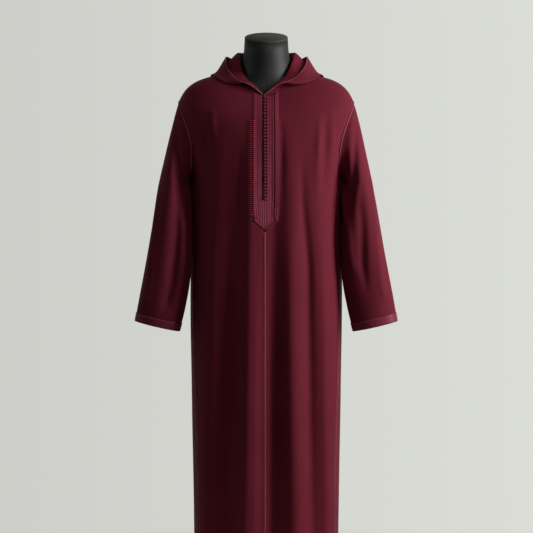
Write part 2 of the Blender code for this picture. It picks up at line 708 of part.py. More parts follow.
def hood_line(start):
    """The hood's outer points from a point of the neckline to the rim above it."""
    azimuth = math.degrees(math.atan2(start.x, -start.y))
    s = hood_section(azimuth)
    seam_r = math.hypot(start.x, start.y)
    rs = [seam_r, s.ridge_r, s.under_r, s.bottom_r, s.outer_r, s.rim_r]
    zs = [start.z, s.ridge_z, s.under_z, s.bottom_z, s.outer_z, s.rim_z]
    places = [0.0]
    for k in range(1, len(rs)):
        places.append(places[-1] + math.hypot(rs[k] - rs[k - 1], zs[k] - zs[k - 1]))
    across, ahead = math.sin(math.radians(azimuth)), math.cos(math.radians(azimuth))
    line = []
    for row in HOOD_ROWS:
        place = straight(list(enumerate(places)), row)
        r, z = smooth(places, rs, place), smooth(places, zs, place)
        line.append(Vector((r * across, -r * ahead, z)))
    return line


def grid_normals(grid):
    """The normal at each point of a grid, from its neighbours in the grid."""
    rows, columns = len(grid), len(grid[0])
    found = []
    for r in range(rows):
        low, high = grid[max(r - 1, 0)], grid[min(r + 1, rows - 1)]
        row = []
        for c in range(columns):
            along = grid[r][min(c + 1, columns - 1)] - grid[r][max(c - 1, 0)]
            row.append(along.cross(high[c] - low[c]).normalized())
        found.append(row)
    return found


def body_skin():
    """The robe's outer surface as a search tree, for what lies on it."""
    turns = spread(0.0, 360.0, SKIN_COLUMNS)[:-1]
    rows = [s for s in body_rows() if s > UNDERARM - SKIN_BELOW_UNDERARM]
    points = [body_point(s, turn) for s in rows for turn in turns]
    count = len(turns)
    faces = []
    for r in range(len(rows) - 1):
        for k in range(count):
            n = (k + 1) % count
            faces.append((r * count + k, r * count + n, (r + 1) * count + n, (r + 1) * count + k))
    return BVHTree.FromPolygons(points, faces)


def kept_clear(point, skin, gap):
    """The point, moved out until it is at least gap off the skin."""
    near, out, _, _ = skin.find_nearest(point)
    height = (point - near).dot(out)
    return point if height > gap else near + out * gap


def hood_start(degrees):
    """The two faces of the hood's lowest row, a seam gap above the panels' neckline."""
    edge, before = body_point(NECKLINE, degrees), body_point(NECKLINE - 2 * MM, degrees)
    outside = edge + (edge - before).normalized() * LAID_GAP
    return outside, outside - body_normal(NECKLINE, degrees) * CLOTH


def build_hood():
    skin = body_skin()
    starts = [hood_start(degrees) for degrees in neckline_columns()]
    lines = [hood_line((outside + inside) / 2) for outside, inside in starts]
    for line in lines:
        for r in range(RIDGE_ROW + 1, len(line)):
            azimuth = abs(math.degrees(math.atan2(line[r].x, -line[r].y)))
            line[r] = kept_clear(line[r], skin, straight(HOOD_LIES_OFF, azimuth))
    middle = [[line[r] for line in lines] for r in range(len(HOOD_ROWS))]
    normals = grid_normals(middle)
    outer, inner = [[outside for outside, _ in starts]], [[inside for _, inside in starts]]
    for row, out in zip(middle[1:], normals[1:]):
        outer.append([p + n * CLOTH / 2 for p, n in zip(row, out)])
        inner.append([p - n * CLOTH / 2 for p, n in zip(row, out)])
    wall("hood", outer, inner, "cloth")


def torso_point(section, degrees):
    across, ahead = math.sin(math.radians(degrees)), math.cos(math.radians(degrees))
    power = 2.0 / FORM_SQUARENESS
    depth, end_z = section.back_depth, section.back_z
    if ahead > 0:
        depth, end_z = section.front_depth, section.front_z
    x = section.half_width * signed_power(across, power)
    z = end_z + (section.side_z - end_z) * across**2
    return Vector((x, -depth * signed_power(ahead, power), z))


def form_rings():
    """Rings of the dress form, from its bottom to the top of the neck."""
    turns = [360.0 * k / FORM_COLUMNS for k in range(FORM_COLUMNS)]
    rings = [[torso_point(section, turn) for turn in turns] for section in TORSO_SECTIONS]
    widths = [s.half_width for s in BODY_SECTIONS]
    start = straight(list(zip(widths[::-1], STATIONS[::-1])), SHOULDER_STARTS_X)
    for station in [start] + [s for s in body_rows() if s > start + ROW_CLEARANCE]:
        inset = CLOTH + (NECKLINE_SEAT_GAP if station == NECKLINE else SEAT_GAP)
        ring = []
        for turn in turns:
            out = normal_of(
                plain_body_point, station, turn, NORMAL_STEP, NORMAL_DEGREES, (0.0, NECKLINE)
            )
            ring.append(plain_body_point(station, turn) - out * inset)
        rings.append(ring)
    for s in NECK_SECTIONS:
        rings.append([neck_point(s, turn) for turn in turns])
    return rings


def neck_point(section, turn):
    across, ahead = math.sin(math.radians(turn)), math.cos(math.radians(turn))
    y = -section.half_depth * ahead
    z = section.z - section.lean * ahead
    return Vector((section.half_width * across, section.centre_y + y, z))


def lofted(name, rings, finish):
    """A closed solid through rings of points, with flat ends."""
    built = bmesh.new()
    loops = [[built.verts.new(p) for p in ring] for ring in rings]
    for low, high in zip(loops, loops[1:]):
        for k in range(len(low)):
            n = (k + 1) % len(low)
            built.faces.new([low[k], low[n], high[n], high[k]])
    built.faces.new(loops[0][::-1])
    built.faces.new(loops[-1])
    return add_object(name, built, finish)


def build_form():
    rings = form_rings()
    lofted("dress_form", rings, "form_black")
    top = rings[-1]
    centre = sum(top, Vector()) / len(top)
    up = (top[0] - centre).cross(top[FORM_COLUMNS // 4] - centre).normalized()
    if up.z < 0:
        up = -up
    levels = ((0.0, 1.0), (CAP_ROUNDS_AT, 1.0), (CAP_THICKNESS, CAP_TOP_SHARE))
    cap = [
        [centre + (p - centre) * size + up * (CAP_GAP + height) for p in top]
        for height, size in levels
    ]
    lofted("neck_cap", cap, "form_black")


def turned(name, profile, finish):
    """A solid of revolution from (radius, height) pairs, from its bottom up."""
    rings = []
    for radius, z in profile:
        ring = []
        for k in range(STAND_SIDES):
            turn = 2 * math.pi * k / STAND_SIDES
            ring.append(Vector((radius * math.cos(turn), radius * math.sin(turn), z)))
        rings.append(ring)
    return lofted(name, rings, finish)


def build_stand():
    plate = (
        (BASE_RADIUS, 0.0),
        (BASE_RADIUS, BASE_THICKNESS - BASE_EDGE),
        (BASE_RADIUS - BASE_EDGE, BASE_THICKNESS),
    )
    turned("stand_base", plate, "stand_metal")
    foot, head = BASE_THICKNESS + SEAM_GAP, TORSO_SECTIONS[0].side_z - SEAM_GAP
    turned("stand_pole", ((POLE_RADIUS, foot), (POLE_RADIUS, head)), "stand_metal")


def main():
    for old in list(bpy.data.objects):
        bpy.data.objects.remove(old)
    build_fronts_and_back()
    build_placket()
    build_knots()
    build_front_braid()
    build_sleeves()
    build_hood()
    build_form()
    build_stand()


main()
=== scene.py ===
# %% [markdown]
# # A djellaba on a dress form
# This lesson dresses a plain solid model of a long hooded robe so that it reads as cloth. The solids
# give the true shape and the seams. Here each panel becomes a fine sheet with its creases, and the
# braids, knots and threads that a tailor adds by hand are laid on top.

import math

import bmesh
import bpy
import numpy as np
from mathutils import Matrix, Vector, noise
from mathutils.bvhtree import BVHTree


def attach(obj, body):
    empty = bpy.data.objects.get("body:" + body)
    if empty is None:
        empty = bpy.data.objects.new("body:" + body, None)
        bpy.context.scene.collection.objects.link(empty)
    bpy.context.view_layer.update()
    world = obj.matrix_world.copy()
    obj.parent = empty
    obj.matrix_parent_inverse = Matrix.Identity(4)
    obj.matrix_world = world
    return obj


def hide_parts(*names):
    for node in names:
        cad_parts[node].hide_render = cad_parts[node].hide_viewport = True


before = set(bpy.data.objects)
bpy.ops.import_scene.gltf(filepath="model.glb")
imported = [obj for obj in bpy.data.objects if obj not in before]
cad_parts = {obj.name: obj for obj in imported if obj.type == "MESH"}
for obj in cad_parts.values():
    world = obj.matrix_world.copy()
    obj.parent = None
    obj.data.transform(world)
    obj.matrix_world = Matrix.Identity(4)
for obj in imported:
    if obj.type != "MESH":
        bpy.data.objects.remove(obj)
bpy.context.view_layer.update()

# %% [markdown]
# ## The cloth: a smooth crepe
# The robe is one colour, a deep burgundy. The crepe is fine and dry: its threads are twisted, so it
# scatters light and only glows softly where it turns away from the eye. A Principled shader with high
# roughness and some sheen gives that. Two noises break the colour up a little, one broad like uneven
# dye and one drawn out along the warp, and a very fine bump stands for the crepe's grain.

# %% The burgundy crepe
MM = 0.001
# the noise is nearly all between these two values, so the colours run from one to the other
NOISE_LOW, NOISE_HIGH = 0.3, 0.7


def shader_of(name):
    """A new material, with its nodes and links."""
    material = bpy.data.materials.new(name)
    material.use_nodes = True
    return material, material.node_tree.nodes, material.node_tree.links


def grain(nodes, links, scale, stretch, detail=2.0):
    """Noise in the robe's own metres, scaled and stretched along x, y and z."""
    where = nodes.new("ShaderNodeTexCoord")
    sizing = nodes.new("ShaderNodeMapping")
    sizing.inputs["Scale"].default_value = stretch
    texture = nodes.new("ShaderNodeTexNoise")
    texture.inputs["Scale"].default_value = scale
    texture.inputs["Detail"].default_value = detail
    links.new(where.outputs["Object"], sizing.inputs["Vector"])
    links.new(sizing.outputs["Vector"], texture.inputs["Vector"])
    return texture.outputs["Fac"]


def between(nodes, links, factor, low, high):
    """Turns a noise into a colour between two colours."""
    ramp = nodes.new("ShaderNodeValToRGB")
    ramp.color_ramp.elements[0].position = NOISE_LOW
    ramp.color_ramp.elements[0].color = (*low, 1)
    ramp.color_ramp.elements[1].position = NOISE_HIGH
    ramp.color_ramp.elements[1].color = (*high, 1)
    links.new(factor, ramp.inputs["Fac"])
    return ramp.outputs["Color"]


def add_bump(nodes, links, pattern, strength, depth):
    """Raises a finish by a pattern. depth is how high a full pattern stands."""
    bump = nodes.new("ShaderNodeBump")
    bump.inputs["Strength"].default_value = strength
    bump.inputs["Distance"].default_value = depth
    links.new(pattern, bump.inputs["Height"])
    links.new(bump.outputs["Normal"], nodes["Principled BSDF"].inputs["Normal"])
    return bump


SHEEN_TINT, SHEEN_ROUGHNESS, CLOTH_GLOSS, CLOTH_BUMP = (1.0, 0.42, 0.55, 1), 0.45, 0.2, 0.6
DYE = {"scale": 9.0, "stretch": (1, 1, 0.6)}
WARP = {"scale": 60.0, "stretch": (6, 6, 0.25), "detail": 3.0}


def cloth_material(name, dark, light, roughness, sheen, bump_scale, bump_depth, stretch=(1, 1, 1)):
    """A woven finish between two colours. Half of its unevenness is dye and half is warp."""
    material, nodes, links = shader_of(name)
    skin = nodes["Principled BSDF"]
    skin.inputs["Roughness"].default_value = roughness
    skin.inputs["Specular IOR Level"].default_value = CLOTH_GLOSS
    skin.inputs["Sheen Weight"].default_value = sheen
    skin.inputs["Sheen Roughness"].default_value = SHEEN_ROUGHNESS
    skin.inputs["Sheen Tint"].default_value = SHEEN_TINT
    half_warp = nodes.new("ShaderNodeMath")
    half_warp.operation = "MULTIPLY"
    both = nodes.new("ShaderNodeMath")
    both.operation = "MULTIPLY_ADD"
    for half in (half_warp, both):
        half.inputs[1].default_value = 0.5
    links.new(grain(nodes, links, **WARP), half_warp.inputs[0])
    links.new(grain(nodes, links, **DYE), both.inputs[0])
    links.new(half_warp.outputs[0], both.inputs[2])
    links.new(between(nodes, links, both.outputs[0], dark, light), skin.inputs["Base Color"])
    add_bump(nodes, links, grain(nodes, links, bump_scale, stretch), CLOTH_BUMP, bump_depth)
    return material


crepe = cloth_material(
    "burgundy_crepe", (0.128, 0.0075, 0.019), (0.166, 0.0110, 0.026),
    roughness=0.82, sheen=0.05, bump_scale=700.0, bump_depth=0.3 * MM,
)
print("the robe's cloth:", crepe.name)

# %% [markdown]
# ## The trims: satin, braid and silk
# The cuffs are satin, which is smoother than the crepe and shines along its threads. The placket is a
# woven braid with slanting ribs. Its low strips lie in shade, and that shade is painted on them as a
# deeper red. It is sewn with silk in three strengths of colour: a plain red; a pale red, which is the
# cords' red painted paler as a highlight; and a warm red, made lighter still as painted light on
# stitches that sit in the band's shade. They all use the crepe's shader, with their own colours,
# roughness and grain. The braid also gets a slanting wave as a second bump, over its first one.

# %% Satin, braid and threads
SILK = {"roughness": 0.50, "sheen": 0.15, "bump_scale": 900.0, "bump_depth": 0.2 * MM}
satin = cloth_material(
    "satin_band", (0.185, 0.018, 0.042), (0.230, 0.026, 0.058),
    roughness=0.42, sheen=0.20, bump_scale=160.0, bump_depth=0.3 * MM, stretch=(1, 1, 6),
)
braid = cloth_material(
    "woven_braid", (0.205, 0.019, 0.043), (0.270, 0.030, 0.064),
    roughness=0.55, sheen=0.15, bump_scale=500.0, bump_depth=0.2 * MM,
)
thread = cloth_material("silk_thread", (0.270, 0.030, 0.055), (0.340, 0.045, 0.078), **SILK)
# a greyish pink: the seam cords' red painted paler, as a highlight
seam_thread_painted_highlight = cloth_material("silk_thread_painted_highlight", (0.330, 0.075, 0.110), (0.400, 0.100, 0.140), **SILK)
# a warm red silk, made lighter still as painted light on the ladder stitches in the band's shade
warm_thread_painted_lighter = cloth_material("warm_silk_painted_lighter", (0.420, 0.038, 0.066), (0.520, 0.056, 0.096), **SILK)
# a nearly black red: painted shade for the low strips of the placket
braid_painted_shade = cloth_material(
    "braid_painted_shade_strips", (0.026, 0.0025, 0.005), (0.038, 0.0035, 0.008),
    roughness=0.85, sheen=0.0, bump_scale=500.0, bump_depth=0.2 * MM,
)
WEAVE_PITCH, WEAVE_DEPTH = 2.6 * MM, 0.5 * MM


def slant_ribs(material, pitch, depth):
    """Adds the slanting ribs of a woven braid to a finish. The pitch is from rib to rib."""
    nodes, links = material.node_tree.nodes, material.node_tree.links
    where = nodes.new("ShaderNodeTexCoord")
    sizing = nodes.new("ShaderNodeMapping")
    # a slanting wave turns once in 2 pi / 10 of its own units, counted along x plus z
    stretch = 2 * math.pi / (10 * pitch * math.sqrt(2))
    sizing.inputs["Scale"].default_value = (stretch, 0, stretch)
    ribs = nodes.new("ShaderNodeTexWave")
    ribs.bands_direction = "DIAGONAL"
    ribs.inputs["Scale"].default_value = 1.0
    links.new(where.outputs["Object"], sizing.inputs["Vector"])
    links.new(sizing.outputs["Vector"], ribs.inputs["Vector"])
    first_bump = nodes["Principled BSDF"].inputs["Normal"].links[0].from_socket
    bump = add_bump(nodes, links, ribs.outputs["Fac"], 1.0, depth)
    links.new(first_bump, bump.inputs["Normal"])


slant_ribs(braid, WEAVE_PITCH, WEAVE_DEPTH)
print("trims:", [m.name for m in (satin, braid, thread, seam_thread_painted_highlight, warm_thread_painted_lighter, braid_painted_shade)])

# %% [markdown]
# ## From solid walls to sheets
# Every solid panel is a wall two millimetres thick: an outer face, an inner face and a narrow edge
# between them. A sheet of cloth needs the outer face alone, as an even grid that follows the cut. The
# solids are made of triangles, so the grid is found again by walking it: from the first row, each pair
# of triangles gives one square and the next point of the row beyond. Then a Subdivision modifier rounds
# the sheet. Two seams that meet in a point would be rounded apart, so those corners are kept sharp.

# %% Find a panel's outer face
WALL = 2.0 * MM
WELD, WALL_SLACK = 0.01 * MM, 0.0005 * MM
FINENESS = 3


def welded(node):
    """A solid of the frame as a working mesh, with its points joined."""
    built = bmesh.new()
    built.from_mesh(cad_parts[node].data)
    bmesh.ops.remove_doubles(built, verts=built.verts, dist=WELD)
    return built


def outer_face(node):
    """The triangles of a wall's outer face: those that aren't its narrow edge and don't face inwards."""
    sheet = welded(node)
    rims = [e for e in sheet.edges if abs(e.calc_length() - WALL) < WALL_SLACK]
    bmesh.ops.delete(sheet, geom=list({f for e in rims for f in e.link_faces}), context="FACES")
    middle = sum((v.co for v in sheet.verts), Vector()) / len(sheet.verts)
    left = set(sheet.faces)
    layers = []
    while left:
        todo, layer = [left.pop()], []
        while todo:
            face = todo.pop()
            layer.append(face)
            beside = {f for e in face.edges for f in e.link_faces} & left
            left -= beside
            todo.extend(beside)
        layers.append(layer)

    def outwards(layer):
        return sum(f.calc_area() * f.normal.dot(f.calc_center_median() - middle) for f in layer)

    outer = max(layers, key=outwards)
    others = [f for layer in layers if layer is not outer for f in layer]
    bmesh.ops.delete(sheet, geom=others, context="FACES")
    bmesh.ops.delete(sheet, geom=[v for v in sheet.verts if not v.link_faces], context="VERTS")
    return sheet


print("outer face of the hood:", len(outer_face("hood").faces), "triangles")


# %% Walk the grid of a sheet
def edge_walk(start, step):
    """The points of the sheet's edge, from start in the direction of step, until it closes."""
    points = [start, step]
    while True:
        on = [e.other_vert(points[-1]) for e in points[-1].link_edges if e.is_boundary]
        ahead = [v for v in on if v is not points[-2]][0]
        if ahead is start:
            return points
        points.append(ahead)


def third(face, a, b):
    return next(v for v in face.verts if v is not a and v is not b)


def row_beyond(row, first, done, ring):
    """Walks the strip of triangles beside a row. Returns the next row, or None if the strip isn't one."""
    beyond, used = [first], set()
    pairs = list(zip(row, row[1:] + row[:1])) if ring else list(zip(row, row[1:]))
    for near, far in pairs:
        corner = beyond[-1]
        for _ in range(2):
            edge = next((e for e in corner.link_edges if e.other_vert(corner) is near), None)
            faces = [f for f in edge.link_faces if f not in done and f not in used] if edge else []
            faces = [f for f in faces if far in f.verts or all(v not in row or v is near for v in f.verts)]
            if not faces:
                return None
            face = faces[0]
            used.add(face)
            new = third(face, corner, near)
            if new is far:
                near = far
            else:
                corner = new
        if near is not far:
            return None
        beyond.append(corner)
    if ring:
        if beyond[-1] is not first:
            return None
        beyond.pop()
    done |= used
    return beyond


def grid_rows(sheet, start, towards, ring=False):
    """The sheet's rows of points. start and towards are near the two ends of the first row."""
    edge = {v for e in sheet.edges if e.is_boundary for v in e.verts}
    first = min(edge, key=lambda v: (v.co - Vector(start)).length)
    last = min(edge, key=lambda v: (v.co - Vector(towards)).length)
    ways = [edge_walk(first, e.other_vert(first)) for e in first.link_edges if e.is_boundary]
    if ring:
        row = min(ways, key=lambda way: (way[1].co - Vector(towards)).length)
    else:
        row = min((way[: way.index(last) + 1] for way in ways), key=len)
    rows, done, taken = [row], set(), set(row)
    while True:
        if ring:
            tries = [e.other_vert(row[0]) for e in row[0].link_edges]
        else:
            tries = [e.other_vert(row[0]) for e in row[0].link_edges if e.is_boundary]
        tries = sorted((v for v in tries if v not in taken), key=lambda v: (v.co - row[0].co).length)
        found = None
        for begin in tries:
            found = row_beyond(row, begin, done, ring)
            if found:
                break
        if not found:
            return rows
        rows.append(found)
        taken.update(found)
        row = found


# %% Tools for every piece
def mesh_from(built, name):
    """Turns a working mesh into a real one."""
    mesh = bpy.data.meshes.new(name)
    built.to_mesh(mesh)
    built.free()
    return mesh


def with_modifier(mesh, kind, **settings):
    """The mesh that one modifier makes of another."""
    holder = bpy.data.objects.new("holder", mesh)
    bpy.context.scene.collection.objects.link(holder)
    modifier = holder.modifiers.new(kind, kind)
    for setting, value in settings.items():
        setattr(modifier, setting, value)
    graph = bpy.context.evaluated_depsgraph_get()
    made = bpy.data.meshes.new_from_object(holder.evaluated_get(graph))
    bpy.data.objects.remove(holder)
    return made


def piece(name, mesh, material, nodes=()):
    """A finished piece: shown, given its material, tied to the frame, and put in place of its nodes."""
    made = bpy.data.objects.new(name, mesh)
    bpy.context.scene.collection.objects.link(made)
    mesh.materials.clear()
    mesh.materials.append(material)
    mesh.shade_smooth()
    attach(made, "root")
    if nodes:
        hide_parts(*nodes)
    return made


# %% Round a sheet
def facing(faces):
    """The way that most of the faces look."""
    return sum((f.normal * f.calc_area() for f in faces), Vector())


def rounded_sheet(node, start, towards, corners=(), ring=False):
    """A fine smooth sheet on the outer face of a solid panel. Corners are points that stay sharp."""
    face = outer_face(node)
    rows = grid_rows(face, start, towards, ring)
    across = len(rows[0])
    if len(rows) * across != len(face.verts):
        raise ValueError(f"{node}: the walk found {len(rows)} x {across} of {len(face.verts)}")
    built = bmesh.new()
    grid = [[built.verts.new(v.co) for v in row] for row in rows]
    for low, high in zip(grid, grid[1:]):
        for c in range(across if ring else across - 1):
            d = (c + 1) % across
            built.faces.new([low[c], low[d], high[d], high[c]])
    built.normal_update()
    sharp = built.verts.layers.float.new("crease_vert")
    for corner in corners:
        near = min(built.verts, key=lambda v: (v.co - Vector(corner)).length)
        near[sharp] = 1.0
    if facing(built.faces).dot(facing(face.faces)) < 0:
        bmesh.ops.reverse_faces(built, faces=built.faces)
    face.free()
    coarse = mesh_from(built, node + "_coarse")
    rounding = {"levels": FINENESS, "render_levels": FINENESS, "boundary_smooth": "PRESERVE_CORNERS"}
    fine = with_modifier(coarse, "SUBSURF", **rounding)
    print(node, "grid", len(rows), "x", across, "fine faces", len(fine.polygons))
    return fine


# %% [markdown]
# The panels meet in a few points: the tip of the shoulder, the underarm and the ends of the shoulder
# seam at the neck. There the front, the back and the sleeve share a corner.

# %% Round the panels
SIDES = {"left": 1, "right": -1}
SEAM_X = -4.5 * MM
TIP, UNDERARM, NECK_SIDE = (0.247, 0.0, 1.420), (0.214, 0.0, 1.190), (0.080, 0.0, 1.505)
# two places at the ends of each panel's first row of points, given on the wearer's left
HEM_MIDDLE, HEM_SIDE = (0.2 * MM, -0.152, 0.110), (0.197, -0.075, 0.110)
SLEEVE_TOP, SLEEVE_NEXT = (0.2474, 0.0, 1.420), (0.247, -0.02, 1.415)
BACK_HEM = (0.186, -0.090, 0.105)
HOOD_LEFT, HOOD_RIGHT = (-0.0045, -0.0858, 1.4305), (-0.0095, -0.0858, 1.4305)


def on_side(side, point, middle=0.0):
    """A point given on the wearer's left of the middle, or for side -1 its mirror image."""
    return (middle + side * point[0], point[1], point[2])


cloths = {}
for word, side in SIDES.items():
    marks = [on_side(side, mark) for mark in (TIP, UNDERARM, NECK_SIDE)]
    cloths["front_" + word] = rounded_sheet(
        "front_" + word, on_side(side, HEM_MIDDLE, SEAM_X), on_side(side, HEM_SIDE), marks
    )
    cloths["sleeve_" + word] = rounded_sheet(
        "sleeve_" + word, on_side(side, SLEEVE_TOP), on_side(side, SLEEVE_NEXT), marks[:2], ring=True
    )
both = [on_side(side, mark) for mark in (TIP, UNDERARM, NECK_SIDE) for side in (1, -1)]
cloths["back"] = rounded_sheet("back", BACK_HEM, on_side(-1, BACK_HEM), both)
cloths["hood"] = rounded_sheet("hood", HOOD_LEFT, HOOD_RIGHT)
print("sheets:", sorted(cloths))

# %% [markdown]
# ## Creases
# A hanging robe has long soft folds from the chest to the hem, and short ones where the sleeves pull.
# The solids hold the deep folds. The finer ones are pressed into the sheets here, one line each, with
# their own width and height. A crease is a line of places seen from the front, and the cloth beside it
# moves along its own normal by a rounded bump. Heights above zero are ridges and below zero troughs.
# The creases differ from side to side, as they do on the real robe, and the back has some of its own.

# %% Creases of the body
# Each crease is a list of stations down its line: (x, z) in metres, its width and height in millimetres
FRONT_CREASES = [
    # the deep folds, made a little steeper
    [(-0.098, 1.060, 16, 0), (-0.106, 0.580, 17, -5), (-0.116, 0.200, 18, -5)],
    [(-0.050, 1.060, 16, 0), (-0.055, 0.580, 17, 4), (-0.059, 0.200, 18, 4)],
    [(0.014, 1.020, 12, 0), (0.014, 0.580, 13, -3), (0.016, 0.200, 14, -3)],
    [(-0.084, 1.060, 8, 0), (-0.089, 0.580, 9, -4), (-0.094, 0.200, 10, -4)],
    [(0.062, 1.080, 15, 0), (0.068, 0.580, 18, 4), (0.072, 0.200, 19, 5)],
    # short pulls from the wearer's right armhole down the chest
    [(-0.196, 1.400, 8, 0), (-0.197, 1.300, 9, -4.5), (-0.190, 1.190, 12, 0)],
    [(-0.186, 1.395, 7, 0), (-0.186, 1.330, 8, 4), (-0.182, 1.240, 9, 0)],
    [(-0.166, 1.370, 10, 0), (-0.166, 1.280, 12, -3.5), (-0.168, 1.120, 14, 0)],
    [(-0.150, 1.400, 8, 0), (-0.150, 1.360, 10, 3), (-0.146, 1.290, 12, 0)],
    # the same on the wearer's left
    [(0.150, 1.395, 9, 0), (0.146, 1.300, 10, 4), (0.142, 1.150, 12, 0)],
    [(0.168, 1.390, 10, 0), (0.164, 1.280, 11, -3.5), (0.160, 1.100, 13, 0)],
    [(0.184, 1.395, 9, 0), (0.184, 1.310, 10, 3), (0.180, 1.200, 11, 0)],
    # long fine folds between the deep ones
    [(-0.128, 1.100, 12, 0), (-0.134, 0.800, 12, -2), (-0.142, 0.300, 14, -2)],
    [(0.098, 1.250, 10, 0), (0.104, 1.120, 11, -4.5), (0.118, 0.960, 12, -5.5),
     (0.123, 0.600, 13, -5), (0.130, 0.150, 14, -3)],
    [(0.043, 1.390, 9, 0), (0.044, 1.250, 10, -3.5), (0.042, 1.060, 11, 0)],
    [(-0.072, 1.300, 10, 0), (-0.073, 1.170, 12, -4), (-0.076, 1.040, 12, 0)],
    [(0.160, 1.050, 10, 0), (0.162, 0.800, 11, 2), (0.170, 0.200, 12, 2)],
    [(-0.026, 1.000, 10, 0), (-0.030, 0.700, 12, 3), (-0.034, 0.160, 13, 4)],
]
# the side of the body that touches the sleeve, on the front and the back alike
SIDE_RIDGES = [
    [(side * 0.214, 1.202, 14, 0), (side * 0.214, 1.165, 14, 4), (side * 0.212, 1.090, 14, 0)]
    for side in (-1, 1)
]
BACK_CREASES = [
    [(-0.190, 1.390, 8, 0), (-0.186, 1.290, 10, -6), (-0.176, 1.180, 12, 0)],
    [(0.188, 1.395, 8, 0), (0.188, 1.300, 9, -6), (0.182, 1.190, 12, 0)],
    [(0.160, 1.370, 9, 0), (0.156, 1.260, 11, 5), (0.150, 1.080, 14, 0)],
    [(-0.150, 1.340, 9, 0), (-0.148, 1.200, 12, 4), (-0.150, 1.000, 14, 0)],
    [(-0.010, 1.150, 13, 0), (-0.014, 0.800, 15, 6), (-0.020, 0.150, 17, 8)],
    [(0.030, 1.080, 12, 0), (0.034, 0.760, 13, -5), (0.036, 0.150, 15, -6)],
    [(0.100, 1.120, 13, 0), (0.106, 0.700, 15, 6), (0.112, 0.150, 16, 7)],
    [(-0.060, 1.100, 12, 0), (-0.064, 0.720, 14, -5), (-0.070, 0.150, 15, -7)],
    [(-0.104, 1.040, 12, 0), (-0.110, 0.700, 13, 5), (-0.116, 0.150, 15, 6)],
    [(-0.148, 1.000, 12, 0), (-0.152, 0.700, 13, -4), (-0.156, 0.180, 14, -5)],
]


# %% Press the body's creases
UNEVEN_SCALE, UNEVENNESS = (14, 14, 5), 0.7 * MM


def points_of(mesh):
    flat = np.zeros(len(mesh.vertices) * 3)
    mesh.vertices.foreach_get("co", flat)
    return flat.reshape(-1, 3)


def normals_of(mesh):
    flat = np.zeros(len(mesh.vertices) * 3, np.float32)
    mesh.vertices.foreach_get("normal", flat)
    return flat.reshape(-1, 3).astype(float)


def seen_flat(mesh):
    """Where each point of a sheet lies, seen from the front: its x and z."""
    return points_of(mesh)[:, (0, 2)]


def crease_heights(flat_places, crease):
    """How far one crease moves each place, in metres. Places are seen flat, two numbers each."""
    stations = np.array(crease, float)
    best, height = np.full(len(flat_places), np.inf), np.zeros(len(flat_places))
    for here, there in zip(stations, stations[1:]):
        step = there[:2] - here[:2]
        share = np.clip((flat_places - here[:2]) @ step / (step @ step), 0, 1)
        away = np.linalg.norm(flat_places - here[:2] - share[:, None] * step, axis=1)
        width, tall = (MM * (here[k] + (there[k] - here[k]) * share) for k in (2, 3))
        nearer = away < best
        best = np.where(nearer, away, best)
        height = np.where(nearer, tall * np.exp(-((away / width) ** 2)), height)
    return height


def press(mesh, creases, flat_places, unevenness=UNEVENNESS):
    """Moves a sheet's points along their normals by its creases and by a little slow unevenness."""
    points, normals = points_of(mesh), normals_of(mesh)
    moved = sum(crease_heights(flat_places, crease) for crease in creases)
    slow = [noise.noise(Vector([a * scale for a, scale in zip(p, UNEVEN_SCALE)])) for p in points]
    points += normals * (moved + unevenness * np.array(slow))[:, None]
    mesh.vertices.foreach_set("co", points.astype(np.float32).ravel())
    mesh.update()


for name in ("front_left", "front_right"):
    press(cloths[name], FRONT_CREASES + SIDE_RIDGES, seen_flat(cloths[name]))
press(cloths["back"], BACK_CREASES + SIDE_RIDGES, seen_flat(cloths["back"]))
print("creases pressed:", len(FRONT_CREASES), "front,", len(BACK_CREASES), "back")

# %% [markdown]
# A sleeve hangs straight from the shoulder and breaks over the chest's side. Its creases are written by
# how far round it they lie, in radians, and how high: 0 is its outer edge, and a quarter turn, 1.57, its
# front. The two sleeves have different ones. The side that touches the body is pressed out a little.

# %% Creases of the sleeves
SLEEVE_CREASES = {
    "left": [
        [(-2.00, 1.250, 10, 0), (-1.60, 1.050, 13, -5), (-1.40, 0.900, 13, 0)],
        [(2.30, 1.390, 15, 0), (2.28, 1.290, 16, 8), (2.26, 1.140, 17, 10), (2.30, 0.960, 16, 4)],
        [(1.20, 1.370, 12, 0), (1.22, 1.260, 13, -3), (1.30, 1.150, 14, -4), (1.40, 1.060, 15, -5),
         (1.65, 0.960, 15, -5), (1.70, 0.880, 14, 0)],
        [(0.60, 1.280, 10, 0), (0.66, 1.100, 11, 3), (0.75, 0.880, 12, 2)],
    ],
    "right": [
        [(0.40, 1.350, 12, 0), (0.50, 1.200, 14, 4), (0.55, 1.050, 15, 6), (0.60, 0.860, 15, 4)],
        [(-1.90, 1.200, 10, 0), (-1.50, 1.020, 13, -5), (-1.50, 0.880, 13, 0)],
        [(1.45, 1.350, 16, 0), (1.50, 1.200, 18, -10), (1.85, 1.050, 19, -12), (2.00, 0.860, 20, -8)],
    ],
}
ARM_RADIUS, SLICES = 0.065, 24
# the side of a sleeve that touches the body: a width, and heights down its line
TOUCHING = [
    [(way * math.pi, z, width, height) for z, height in line]
    for width, line in (
        (40, ((1.250, 0), (1.050, 5), (0.860, 0))),
        (36, ((1.204, 0), (1.170, 8), (1.090, 0))),
    )
    for way in (-1, 1)
]


def round_the_sleeve(points, side):
    """Places on a sleeve as (how far round it, height), the first in radians times its radius."""
    heights = points[:, 2]
    bands = np.array_split(np.argsort(heights), SLICES)
    levels = np.array([heights[b].mean() for b in bands])
    xs = np.interp(heights, levels, [points[b, 0].mean() for b in bands])
    ys = np.interp(heights, levels, [points[b, 1].mean() for b in bands])
    turn = np.arctan2(-(points[:, 1] - ys), side * (points[:, 0] - xs))
    return np.stack([turn * ARM_RADIUS, heights], axis=1)


